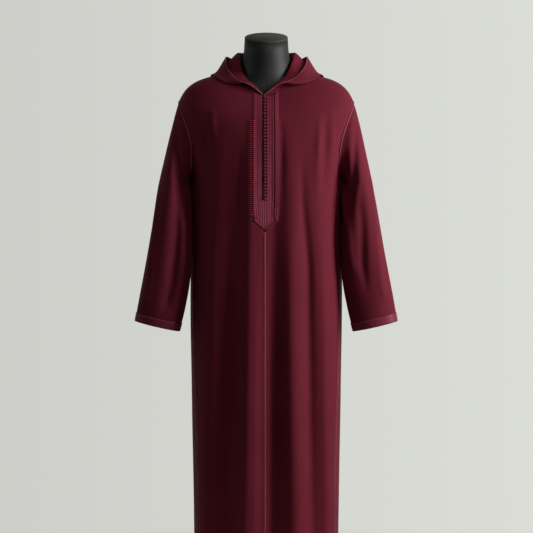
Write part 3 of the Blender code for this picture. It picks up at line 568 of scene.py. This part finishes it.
for word, side in SIDES.items():
    mesh = cloths["sleeve_" + word]
    lines = [[(turn * ARM_RADIUS, *rest) for turn, *rest in c] for c in SLEEVE_CREASES[word] + TOUCHING]
    press(mesh, lines, round_the_sleeve(points_of(mesh), side))
press(cloths["hood"], [], seen_flat(cloths["hood"]), 0.5 * MM)
print("sleeves and hood are creased")

# %% [markdown]
# ## Thickness
# Cloth seen at an edge has a thickness. Each sheet gets the solid's own two millimetres, inwards, with a
# Solidify modifier. Then it is tied to the frame and takes the place of its solid panel.

# %% Give the cloth its thickness
def thickened(mesh, thickness=WALL):
    """A sheet made into a wall. It grows inwards, so the outer face stays where it is."""
    return with_modifier(mesh, "SOLIDIFY", thickness=thickness, offset=-1)


def skin_of(mesh):
    """A mesh's surface, ready to be asked what a ray meets and what lies nearest."""
    points, faces = [v.co.copy() for v in mesh.vertices], [list(p.vertices) for p in mesh.polygons]
    return BVHTree.FromPolygons(points, faces)


def area_of(mesh):
    return round(sum(p.area for p in mesh.polygons), 4)


# Each panel: the area of the cut itself, and what it hangs on
surfaces, robe = {}, {}
for name, mesh in cloths.items():
    print(name, "area", area_of(mesh))
    surfaces[name] = skin_of(mesh)
    robe[name] = piece("cloth_" + name, thickened(mesh), crepe, [name])
print("triangles of cloth:", sum(sum(len(p.vertices) - 2 for p in o.data.polygons) for o in robe.values()))

# %% [markdown]
# ## The placket
# Two bands of braid lie beside the neck slit and join below it in a point. They follow the cloth, so
# each of their points is found by looking at the robe from the front and lifted off it a little. A band
# isn't flat: its section is given as a short table of places across it and how high each stands off the
# cloth. Its grooves are where it is sewn down, and the knots sit in the low strip beside the slit.

# %% The bands' sizes
SLIT_END, POINT_Z, CHEVRON = 1.147, 1.0555, 0.9
# (x on the robe, height off the cloth) in millimetres, from the slit outwards
SECTION_LEFT = [
    (-4.0, 0.3), (-2.0, 0.3), (-0.6, 0.3), (0.2, 1.5), (2.4, 1.8), (4.5, 1.9), (9.0, 1.8), (13.5, 1.8),
    (17.0, 1.8), (18.6, 2.0), (20.0, 1.6), (21.4, 1.0), (23.0, 1.6), (25.6, 2.0), (28.0, 1.5),
    (31.0, 1.2), (33.5, 0.3),
]
SECTION_RIGHT = [
    (-9.8, 0.3), (-12.0, 0.3), (-13.0, 1.5), (-16.0, 1.8), (-20.0, 1.8), (-23.4, 1.7), (-25.4, 1.6),
    (-26.6, 1.1), (-27.8, 1.6), (-29.8, 2.0), (-32.0, 2.0), (-34.0, 2.2), (-35.0, 2.0), (-35.6, 0.6),
    (-36.2, 0.3), (-39.0, 0.3), (-41.6, 0.25),
]
# the low strips beside the slit and outside the band's raised edge lie in shade, painted on them as a deeper
# red: from x to x in millimetres, and from height to height
PAINTED_SHADE_STRIPS = [(-12.4, -3.4, 1.146, 1.440), (-41.8, -35.5, 1.102, 1.366)]
BAND_ROWS, BAND_THICKNESS = 120, 0.25 * MM
# over this height above the slit's end, a band's inner edge closes to the seam and rises to this lift
CLOSING, SEAM_LIFT = 4 * MM, 1.6 * MM
HALF_GAP, BELOW_NECK, FOOT_LIFT = 0.15 * MM, 0.2 * MM, 0.3 * MM
print("placket:", round(SECTION_LEFT[-1][0] - SECTION_RIGHT[-1][0], 1), "mm across both bands")

# %% Find places on the robe's front
FRONT_HALF_Y = -0.02
# the neckline lies between these heights, and it is found by halving the stretch this many times
NECK_LOW, NECK_HIGH, HALVINGS = 1.36, 1.50, 14
# a place in the slit is looked for this many mm lower, and this many steps aside
DROPS, SIDESTEPS, SIDESTEP_MM = 5, 18, 0.4


def seen_at(skin, x, z):
    """Where a ray from the front meets a skin, and the way out of it there, turned to the front."""
    hit, out, _, away = skin.ray_cast(Vector((x, -1, z)), Vector((0, 1, 0)))
    if hit is None:
        return None
    return hit, out if out.y < 0 else -out, away


def on_front(x, z, lift=0.0):
    """A place on the front of the robe and the way out of it there, or None beside the cloth."""
    found = [seen_at(surfaces[name], x, z) for name in ("front_left", "front_right")]
    hits = [(away, hit + out * lift, out) for hit, out, away in filter(None, found) if hit.y < FRONT_HALF_Y]
    return min(hits, key=lambda h: h[0])[1:] if hits else None


def neckline_height(x):
    """How high the front reaches at x."""
    low, high = NECK_LOW, NECK_HIGH
    for _ in range(HALVINGS):
        middle = (low + high) / 2
        low, high = (middle, high) if on_front(x, middle) else (low, middle)
    return low


def beside(x, z, way, lift):
    """The front at x, or the nearest cloth to it in the direction of way where x is in the slit."""
    for drop in range(DROPS):
        for step in range(SIDESTEPS):
            place = on_front(x + way * step * SIDESTEP_MM * MM, z - drop * MM, lift)
            if place:
                return place[0]
    raise ValueError(f"no cloth near {x:.4f}, {z:.4f}")


print("neckline beside the slit:", round(neckline_height(20 * MM), 4))


# %% Lay the bands
def band_foot(x, inset=0.0):
    """The height of the chevron at x, for a line inset from the placket's edge."""
    return POINT_Z + inset * math.hypot(1, CHEVRON) + CHEVRON * abs(x - SEAM_X)


def band_mesh(built, section):
    """Adds one band with its half of the point, from its section."""
    way = math.copysign(1, section[-1][0] - section[0][0])
    at_seam = SEAM_X + way * HALF_GAP
    inner, outer = section[0][0] * MM, section[-1][0] * MM
    grid = []
    for x, lift in section:
        x, lift = x * MM, lift * MM
        share = (x - inner) / (outer - inner)
        top, foot = neckline_height(x) - BELOW_NECK, band_foot(x)
        column = []
        for r in range(BAND_ROWS + 1):
            z = foot + (top - foot) * r / BAND_ROWS
            closed = min(max((SLIT_END + CLOSING - z) / CLOSING, 0.0), 1.0)
            moved = x + (at_seam - inner) * closed * (1 - share) ** 2
            edge = FOOT_LIFT if r == 0 else lift + (SEAM_LIFT - lift) * closed * (1 - share) ** 4
            column.append(built.verts.new(beside(moved, z, way, edge)))
        grid.append(column)
    for one, two in zip(grid, grid[1:]):
        for r in range(BAND_ROWS):
            built.faces.new([one[r], two[r], two[r + 1], one[r + 1]])


built = bmesh.new()
band_mesh(built, SECTION_LEFT)
band_mesh(built, SECTION_RIGHT)
for face in built.faces:
    face.normal_update()
    if face.normal.y > 0:
        face.normal_flip()
bands = mesh_from(built, "bands")
band_skin = skin_of(bands)
print("placket area", area_of(bands))
placket = piece("placket_bands", thickened(bands, BAND_THICKNESS), braid, ["placket"])
# the faces in the low strips take the braid with painted shade
placket.data.materials.append(braid_painted_shade)
for face in placket.data.polygons:
    x, z = face.center.x / MM, face.center.z
    face.material_index = int(any(a < x < b and low < z < high for a, b, low, high in PAINTED_SHADE_STRIPS))

# %% [markdown]
# ## Cords, stitches and knots
# The tailor works silk cord and thread over the bands: thin cords at their edges, ladder stitches beside
# them, ribs below the slit, and a column of small knotted buttons on the slit's edge. All of them are
# tubes laid on the bands. Many small tubes are joined into one mesh of each kind, so that the file stays
# light and the whole row can be picked at once.

# %% Tools for cords
CORD_STEP, CORD_GAP, BAND_DROPS = 4 * MM, 0.8 * MM, 6


def on_band(x, z, lift=0.0):
    """A place on the bands, or on the cloth beside them, and the way out of it there."""
    for drop in range(BAND_DROPS):
        found = seen_at(band_skin, x, z - drop * MM)
        if found:
            hit, out, _ = found
            return hit + out * lift, out
    return on_front(x, z, lift)


def add_tube(built, places, radius, sides=6, flatten=1.0, close=False):
    """Adds a tube through (point, way out) places. flatten makes it lower than it is wide."""
    rings = []
    count = len(places)
    for k, (point, out) in enumerate(places):
        before = places[k - 1][0] if k or close else point
        after = places[(k + 1) % count][0] if k + 1 < count or close else point
        along = (after - before).normalized()
        aside = along.cross(out).normalized()
        up = aside.cross(along)
        ring = []
        for s in range(sides):
            turn = 2 * math.pi * s / sides
            wide, tall = aside * radius * math.cos(turn), up * radius * flatten * math.sin(turn)
            ring.append(built.verts.new(point + wide + tall))
        rings.append(ring)
    pairs = list(zip(rings, rings[1:])) + ([(rings[-1], rings[0])] if close else [])
    for one, two in pairs:
        for s in range(sides):
            t = (s + 1) % sides
            built.faces.new([one[s], one[t], two[t], two[s]])
    if not close:
        built.faces.new(rings[0][::-1])
        built.faces.new(rings[-1])


def tubes(name, runs, material, nodes=(), sides=6, flatten=1.0):
    """One piece of many tubes. runs is a list of (places, radius)."""
    built = bmesh.new()
    for places, radius in runs:
        add_tube(built, places, radius, sides, flatten)
    bmesh.ops.recalc_face_normals(built, faces=built.faces)
    piece(name, mesh_from(built, name), material, nodes)


def down_the_band(x, top, foot, lift, turn_in=0.0):
    """Places straight down a band, then along the chevron to the middle unless turn_in is zero."""
    count = max(int((top - foot) / CORD_STEP), 2)
    places = [on_band(x, top - (top - foot) * k / count, lift) for k in range(count + 1)]
    if turn_in:
        ends = SEAM_X + math.copysign(CORD_GAP, x - SEAM_X)
        steps = max(int(abs(x - ends) / CORD_STEP), 2)
        for k in range(1, steps + 1):
            along = x + (ends - x) * k / steps
            places.append(on_band(along, band_foot(along, turn_in), lift))
    return places


# %% Cords down the bands
# Each cord: x on the robe in metres, its radius and the inset of its chevron in millimetres. A cord
# with no inset has no chevron and ends SHORT_OF_POINT away from it
EDGE_CORDS = [
    (-0.0432, 0.6, -6.0),
    (-0.0297, 0.6, 5.0),
    (0.0186, 0.6, 0.0),
    (0.0256, 1.0, 5.5),
    (0.0318, 0.5, 1.2),
]
SHORT_OF_POINT = 14 * MM
runs = []
for x, radius, inset in EDGE_CORDS:
    top, foot = neckline_height(x) - 1 * MM, band_foot(x, inset * MM if inset else SHORT_OF_POINT)
    runs.append((down_the_band(x, top, foot, 0.1 * MM, inset * MM), radius * MM))
tubes("placket_cords", runs, braid, flatten=0.8)

# ribs of cord that fill the point below the slit, flat and half sunk
RIBS = (-0.0153, -0.0081, -0.0028, 0.0033, 0.0094, 0.0158)
RIB_RADIUS, RIB_LIFT, BELOW_SLIT, ABOVE_POINT = 3.1 * MM, -0.4 * MM, 8 * MM, 9 * MM
runs = [
    (down_the_band(x, SLIT_END - BELOW_SLIT, band_foot(x, ABOVE_POINT), RIB_LIFT), RIB_RADIUS)
    for x in RIBS
]
tubes("placket_ribs", runs, braid, sides=10, flatten=0.25)
print("cords:", len(EDGE_CORDS), "ribs:", len(RIBS))

# %% Ladder and hair stitches
STITCH_TOP, STITCH_FOOT, STITCH_PITCH = 1.362, 1.092, 5.3 * MM
# the two rows of stitches cross a band's edge, from x on the cloth to x on the band
LADDER_FROM, LADDER_TO, HAIR_FROM, HAIR_TO = -0.0490, -0.0310, 0.0385, 0.0262
POINT_STITCHES, POINT_PITCH_MM = 9, 4.0
SLIT_BARS, BAR_TOP, BAR_FOOT = (-0.030, -0.026, 0.0215, 0.0255, 0.0295), 1.121, 1.090
PARTS = 5


def stitch(x1, z1, x2, z2, radius, lift=0.5 * MM):
    """One straight stitch between two places. Between its ends it bridges half of each hollow."""
    ways = [on_band(x1 + (x2 - x1) * i / PARTS, z1 + (z2 - z1) * i / PARTS, lift) for i in range(PARTS + 1)]
    high = min(place.y for place, _ in ways)
    places = []
    for i, (place, out) in enumerate(ways):
        y = place.y + 0.5 * (high - place.y) if 0 < i < PARTS else place.y
        places.append((Vector((place.x, y, place.z)), out))
    return places, radius


ladder, hair = [], []
for k in range(int((STITCH_TOP - STITCH_FOOT) / STITCH_PITCH)):
    z = STITCH_TOP - k * STITCH_PITCH
    uneven = 1.2 * MM * math.sin(k * 1.9)
    ladder.append(stitch(LADDER_FROM + uneven, z, LADDER_TO, z + 0.4 * MM, 1.2 * MM, 1.3 * MM))
    hair.append(stitch(HAIR_FROM + uneven, z + 2 * MM, HAIR_TO, z + 2.4 * MM, 0.7 * MM, 0.7 * MM))
# slanting stitches over the edge of the point, on the wearer's left
for k in range(POINT_STITCHES):
    x = SEAM_X + (3 + POINT_PITCH_MM * k) * MM
    hair.append(stitch(x + 3 * MM, band_foot(x) - 3 * MM, x - 1 * MM, band_foot(x) + 6 * MM, 1.0 * MM))
# the warm red bars that end the slit
for x in SLIT_BARS:
    ladder.append(stitch(x, BAR_TOP, x, BAR_FOOT, 0.9 * MM))
# the ladder and the bars are warm red silk, painted lighter against the band's shade
tubes("placket_ladder", ladder, warm_thread_painted_lighter, sides=5)
tubes("placket_stitches", hair, thread, sides=5)
print("stitches:", len(ladder), "in the ladder,", len(hair), "fine ones")

# %% [markdown]
# A knotted button is a short braided cord pulled into a ball. Here it is a small ball with three turns
# of cord round it, a little slanted, and a foot of cord that holds it to the band. The thirty-two are
# one mesh.

# %% Knotted buttons
KNOTS, KNOT_TOP, KNOT_PITCH = 32, 1.4275, 9.05 * MM
KNOT_X, KNOT_RADIUS = -2.7 * MM, 3.7 * MM
BALL_SHARE, BALL_HEIGHT, BALL_DEPTH = 0.80, 0.95, 0.8
TURN_RADIUS, TURN_PLACES, TURN_DEPTH, TURN_RISE = 0.8 * MM, 12, 0.85, 1.15
FOOT_RADIUS, FOOT_PLACES, LEAN = 1.6 * MM, 5, 0.25
# the three turns of cord: how high each lies on the ball and how much more than the knot it leans
TURNS = ((-0.42, 0.0), (0.0, 0.2), (0.42, -0.15))


def add_knot(built, centre, out, lean):
    """Adds a ball, a little flattened, with its turns of cord."""
    up = Vector((0, 0, 1))
    aside = up.cross(out).normalized()
    ball = bmesh.ops.create_icosphere(built, subdivisions=2, radius=KNOT_RADIUS * BALL_SHARE)
    for v in ball["verts"]:
        flat = v.co.copy()
        v.co = centre + aside * flat.x + up * flat.z * BALL_HEIGHT + out * flat.y * BALL_DEPTH
    for height, more in TURNS:
        size = KNOT_RADIUS * math.sqrt(max(0.82 - height * height, 0.2))
        loop = []
        for s in range(TURN_PLACES):
            turn = 2 * math.pi * s / TURN_PLACES
            radial = aside * math.cos(turn) + out * math.sin(turn) * TURN_DEPTH
            rise = height * KNOT_RADIUS * TURN_RISE + math.cos(turn) * (lean + more) * KNOT_RADIUS
            loop.append((centre + radial * size + up * rise, radial))
        add_tube(built, loop, TURN_RADIUS, 5, close=True)


built = bmesh.new()
for k in range(KNOTS):
    z = KNOT_TOP - k * KNOT_PITCH
    seat, out = on_band(0.0, z)
    seat.x = KNOT_X + 0.5 * MM * math.sin(k * 2.3)
    add_knot(built, seat + out * KNOT_RADIUS * BALL_DEPTH, out, LEAN + 0.1 * math.sin(k * 1.7))
    foot = [on_band(KNOT_X + (2.5 + 1.4 * i) * MM, z, 1.2 * MM) for i in range(FOOT_PLACES)]
    add_tube(built, foot, FOOT_RADIUS, 6, 0.8)
bmesh.ops.recalc_face_normals(built, faces=built.faces)
knots = mesh_from(built, "knots")
piece("knotted_buttons", knots, thread, [f"knot_{k + 1:02d}" for k in range(KNOTS)])
print("knots:", KNOTS, "faces", len(knots.polygons))

# %% [markdown]
# ## Seams
# The centre seam, the armholes, the side seams and the rim of the hood are finished with a fine cord in
# the robe's colour. Its thread is painted paler, as a highlight, so it shows as a thin bright line. Each
# follows the edge of a sheet, a little way in from it.

# %% Cord the seams
def edge_loops(mesh):
    """The sheet's free edges as loops of (point, normal) pairs."""
    built = bmesh.new()
    built.from_mesh(mesh)
    left = {v for e in built.edges if e.is_boundary for v in e.verts}
    loops = []
    while left:
        start = min(left, key=lambda v: v.index)
        step = next(e.other_vert(start) for e in start.link_edges if e.is_boundary)
        loop = edge_walk(start, step)
        left -= set(loop)
        loops.append([(v.co.copy(), v.normal.copy()) for v in loop])
    built.free()
    return loops


def loops_upwards(mesh):
    """The sheet's edge loops, the lowest first."""
    return sorted(edge_loops(mesh), key=lambda loop: sum(p.z for p, _ in loop) / len(loop))


# a run with more places than this keeps every second one
MANY_PLACES = 60


def inset_run(loop, chosen, skin, inset, lift):
    """The longest run of the loop's chosen points, moved in from the edge and laid on the sheet."""
    flags = [chosen(p) for p, _ in loop]
    start = 0 if all(flags) else next(k for k in range(len(loop)) if flags[k] and not flags[k - 1])
    runs, run = [], []
    for k in range(len(loop)):
        j = (start + k) % len(loop)
        if flags[j]:
            run.append(j)
        elif run:
            runs.append(run)
            run = []
    runs.append(run)
    places = []
    for j in max(runs, key=len):
        point, out = loop[j]
        along = (loop[(j + 1) % len(loop)][0] - loop[j - 1][0]).normalized()
        inwards = along.cross(out).normalized() * inset
        spots = [skin.find_nearest(point + way) for way in (inwards, -inwards)]
        spot = max(spots, key=lambda found: (found[0] - point).length)
        normal = spot[1] if spot[1].dot(out) > 0 else -spot[1]
        places.append((spot[0] + normal * lift, normal))
    return places[:: 2 if len(places) > MANY_PLACES else 1]


# %% Lay the seam cords
# the side seams' cords stay between these heights and beyond this x. The rim's stays clear of the neck
SIDE_SEAM_FOOT, SIDE_SEAM_TOP, SIDE_SEAM_X = 0.112, 1.185, 0.12
NECK_Z, CLEAR_OF_NECK = 1.42, 3 * MM
seam_runs = []
for word, side in SIDES.items():
    sleeve = "sleeve_" + word
    top_edge = loops_upwards(cloths[sleeve])[-1]
    armhole = inset_run(top_edge, lambda p: True, surfaces[sleeve], inset=1.0 * MM, lift=0.7 * MM)
    # its first place again closes it
    seam_runs.append((armhole + armhole[:1], 1.3 * MM))
    for name in ("front_" + word, "back"):
        side_seam = inset_run(
            edge_loops(cloths[name])[0],
            lambda p: SIDE_SEAM_FOOT < p.z < SIDE_SEAM_TOP and p.x * side > SIDE_SEAM_X,
            surfaces[name],
            inset=3.2 * MM,
            lift=0.4 * MM,
        )
        seam_runs.append((side_seam, 0.9 * MM))
panels = ("front_left", "front_right", "back")
neckline = [p for name in panels for p, _ in edge_loops(cloths[name])[0] if p.z > NECK_Z]
rim = inset_run(
    edge_loops(cloths["hood"])[0],
    lambda p: min((p - q).length for q in neckline) > CLEAR_OF_NECK,
    surfaces["hood"],
    inset=0.3 * MM,
    lift=-1.0 * MM,
)
seam_runs.append((rim, 1.2 * MM))
# the cords' thread is painted paler, as a highlight
tubes("seam_cords", seam_runs, seam_thread_painted_highlight)

# %% Cord the centre front
CENTRE_STEPS, CENTRE_STEP_MM = 156, 6
centre = [
    on_front(SEAM_X + 0.4 * MM, POINT_Z - 2 * MM - k * CENTRE_STEP_MM * MM, 0.5 * MM)
    for k in range(CENTRE_STEPS)
]
centre = [place for place in centre if place]
tubes("front_cord", [(centre, 1.4 * MM)], seam_thread_painted_highlight, ["front_braid"], sides=8, flatten=0.6)
print("seam cords:", len(seam_runs) + 1)

# %% [markdown]
# ## Cuffs
# A band of satin is sewn round the end of each sleeve. It is a copy of the sleeve's last 26 mm, moved out
# by a little more than its own thickness. The sleeve's end is slanting, so the band is measured from the
# plane of its edge.

# %% Band the cuffs
CUFF_BAND, CUFF_OUT_MM, CUFF_THICKNESS = 26 * MM, 1.6, 1.2 * MM
for word in SIDES:
    sleeve = cloths["sleeve_" + word]
    ring = np.array([p for p, _ in loops_upwards(sleeve)[0]])
    middle = ring.mean(0)
    # the last axis of the edge's points is the one they spread along least, which is up the sleeve
    upwards = np.linalg.svd(ring - middle)[2][2]
    upwards = upwards if upwards[2] > 0 else -upwards
    heights = (points_of(sleeve) - middle) @ upwards
    built = bmesh.new()
    built.from_mesh(sleeve)
    built.verts.ensure_lookup_table()
    bmesh.ops.delete(built, geom=[v for v, h in zip(built.verts, heights) if h > CUFF_BAND], context="VERTS")
    for v in built.verts:
        v.co += v.normal * CUFF_OUT_MM * MM
    band = mesh_from(built, "cuff_" + word)
    print("cuff area", area_of(band))
    cuff = piece("cuff_" + word, thickened(band, CUFF_THICKNESS), satin, ["cuff_band_" + word])

# %% [markdown]
# ## The form and the stand
# The neck block is smooth plastic with a soft gloss, and its cap is duller. The pole and the plate are
# powder coated. Copies of the solids are shaded smooth, with sharp edges kept where two faces meet at
# more than forty degrees.

# %% Finishes of the form and stand
def hard_finish(name, colour, roughness, metallic, speckle):
    """A smooth hard finish with a very fine speckle."""
    material, nodes, links = shader_of(name)
    skin = nodes["Principled BSDF"]
    skin.inputs["Base Color"].default_value = (*colour, 1)
    skin.inputs["Roughness"].default_value = roughness
    skin.inputs["Metallic"].default_value = metallic
    add_bump(nodes, links, grain(nodes, links, speckle, (1, 1, 1)), SPECKLE_BUMP, SPECKLE_DEPTH)
    return material


SPECKLE_BUMP, SPECKLE_DEPTH, SHARP_ANGLE = 0.4, 0.1 * MM, math.radians(40)
# Each solid: its slot, then its finish's name, colour, roughness, metallic and the scale of its speckle
FORM_FINISHES = {
    "dress_form": ("form_black", "satin_black", (0.014, 0.015, 0.013), 0.60, 0.0, 400.0),
    "neck_cap": ("form_cap", "cap_grey", (0.042, 0.043, 0.038), 0.75, 0.0, 600.0),
    "stand_pole": ("stand_metal", "powder_coat", (0.025, 0.025, 0.025), 0.45, 0.6, 1500.0),
    "stand_base": ("stand_metal", "powder_coat_plate", (0.025, 0.025, 0.025), 0.5, 0.6, 1500.0),
}
for node, (slot, *finish) in FORM_FINISHES.items():
    smooth = mesh_from(welded(node), node + "_smooth")
    piece(node + "_smooth", smooth, hard_finish(*finish), [node])
    smooth.set_sharp_from_angle(angle=SHARP_ANGLE)
print("finished:", sorted(FORM_FINISHES))

# %% [markdown]
# ## Light, floor and camera
# The photograph is lit by one large soft light from the right, a little in front, with very little from
# the left, so the folds go from bright to nearly black. The pale wall behind is even. A disc of floor
# fades into it. The wall is a world colour. The eye sees it pale on every side, but it lights the robe
# almost only from behind, as a real wall does in a darkened studio, so the folds stay deep.

# %% Light the robe
def area_light(name, place, aim, size, power):
    """A soft rectangular lamp that looks from its place to its aim."""
    data = bpy.data.lights.new(name, "AREA")
    data.shape = "RECTANGLE"
    data.size, data.size_y = size
    data.energy = power
    lamp = bpy.data.objects.new(name, data)
    bpy.context.scene.collection.objects.link(lamp)
    lamp.location = place
    lamp.rotation_euler = (Vector(aim) - Vector(place)).to_track_quat("-Z", "Y").to_euler()


area_light("key", (2.04, -0.68, 1.70), (0, 0, 1.02), (0.7, 1.9), 58)
area_light("side_fill", (-2.4, -0.3, 1.9), (0, 0, 1.1), (1.0, 2.0), 6)
area_light("top_fill", (0.8, -2.3, 3.1), (0, 0, 1.2), (0.9, 0.9), 9)
print("lamps:", sorted(lamp.name for lamp in bpy.data.lights))

# %% Colour the wall
WALL_COLOUR = (0.985, 1.0, 0.945, 1)
# the wall is a little brighter on the viewer's right, and weak where it would light the robe's front
WALL_TURN, WALL_STRENGTH = (-0.14, 0.14), (0.62, 0.72)
BEHIND, BEHIND_SHARE = (0.30, 0.90), (0.05, 1.0)


def carried(nodes, links, value, source, result, smooth=False):
    """A value carried from one range to another."""
    carry = nodes.new("ShaderNodeMapRange")
    for name, number in zip(("From Min", "From Max", "To Min", "To Max"), (*source, *result)):
        carry.inputs[name].default_value = number
    if smooth:
        carry.interpolation_type = "SMOOTHSTEP"
    links.new(value, carry.inputs["Value"])
    return carry.outputs["Result"]


world = bpy.data.worlds.new("studio")
bpy.context.scene.world = world
world.use_nodes = True
nodes, links = world.node_tree.nodes, world.node_tree.links
where = nodes.new("ShaderNodeTexCoord")
split = nodes.new("ShaderNodeSeparateXYZ")
links.new(where.outputs["Generated"], split.inputs["Vector"])
strength = carried(nodes, links, split.outputs["X"], WALL_TURN, WALL_STRENGTH)
behind = carried(nodes, links, split.outputs["Y"], BEHIND, BEHIND_SHARE, smooth=True)
lighting = nodes.new("ShaderNodeMath")
lighting.operation = "MULTIPLY"
links.new(behind, lighting.inputs[0])
links.new(strength, lighting.inputs[1])
glow, wall = nodes["Background"], nodes.new("ShaderNodeBackground")
links.new(lighting.outputs[0], glow.inputs["Strength"])
links.new(strength, wall.inputs["Strength"])
for pale in (glow, wall):
    pale.inputs["Color"].default_value = WALL_COLOUR
ray = nodes.new("ShaderNodeLightPath")
chosen = nodes.new("ShaderNodeMixShader")
links.new(ray.outputs["Is Camera Ray"], chosen.inputs["Fac"])
links.new(glow.outputs["Background"], chosen.inputs[1])
links.new(wall.outputs["Background"], chosen.inputs[2])
links.new(chosen.outputs["Shader"], nodes["World Output"].inputs["Surface"])
print("wall:", WALL_STRENGTH, "from left to right")

# %% Lay the floor
FLOOR_RADIUS, FLOOR_FADE, FLOOR_Z = 1.15, (0.3, 1.1), -0.5 * MM
material, nodes, links = shader_of("pale_floor")
skin = nodes["Principled BSDF"]
skin.inputs["Base Color"].default_value = (0.62, 0.625, 0.59, 1)
skin.inputs["Roughness"].default_value = 0.9
where = nodes.new("ShaderNodeTexCoord")
reach = nodes.new("ShaderNodeVectorMath")
reach.operation = "LENGTH"
links.new(where.outputs["Object"], reach.inputs[0])
fade = carried(nodes, links, reach.outputs["Value"], FLOOR_FADE, (1.0, 0.0), smooth=True)
links.new(fade, skin.inputs["Alpha"])
built = bmesh.new()
bmesh.ops.create_circle(built, cap_ends=True, segments=96, radius=FLOOR_RADIUS)
disc = mesh_from(built, "floor")
disc.materials.append(material)
floor = bpy.data.objects.new("floor", disc)
bpy.context.scene.collection.objects.link(floor)
floor.location.z = FLOOR_Z
print("floor:", FLOOR_RADIUS, "m")

# %% Set the camera
TARGET, ELEVATION, DISTANCE, FOCAL_MM = Vector((0.0007, 0, 0.95)), math.radians(3.6), 5.55, 131.5
lens = bpy.data.cameras.new("camera")
lens.lens = FOCAL_MM
camera = bpy.data.objects.new("camera", lens)
bpy.context.scene.collection.objects.link(camera)
camera.location = TARGET + DISTANCE * Vector((0, -math.cos(ELEVATION), math.sin(ELEVATION)))
camera.rotation_euler = (TARGET - camera.location).to_track_quat("-Z", "Y").to_euler()
bpy.context.scene.camera = camera
bpy.context.scene.view_settings.view_transform = "Standard"
print("camera:", [round(v, 3) for v in camera.location])
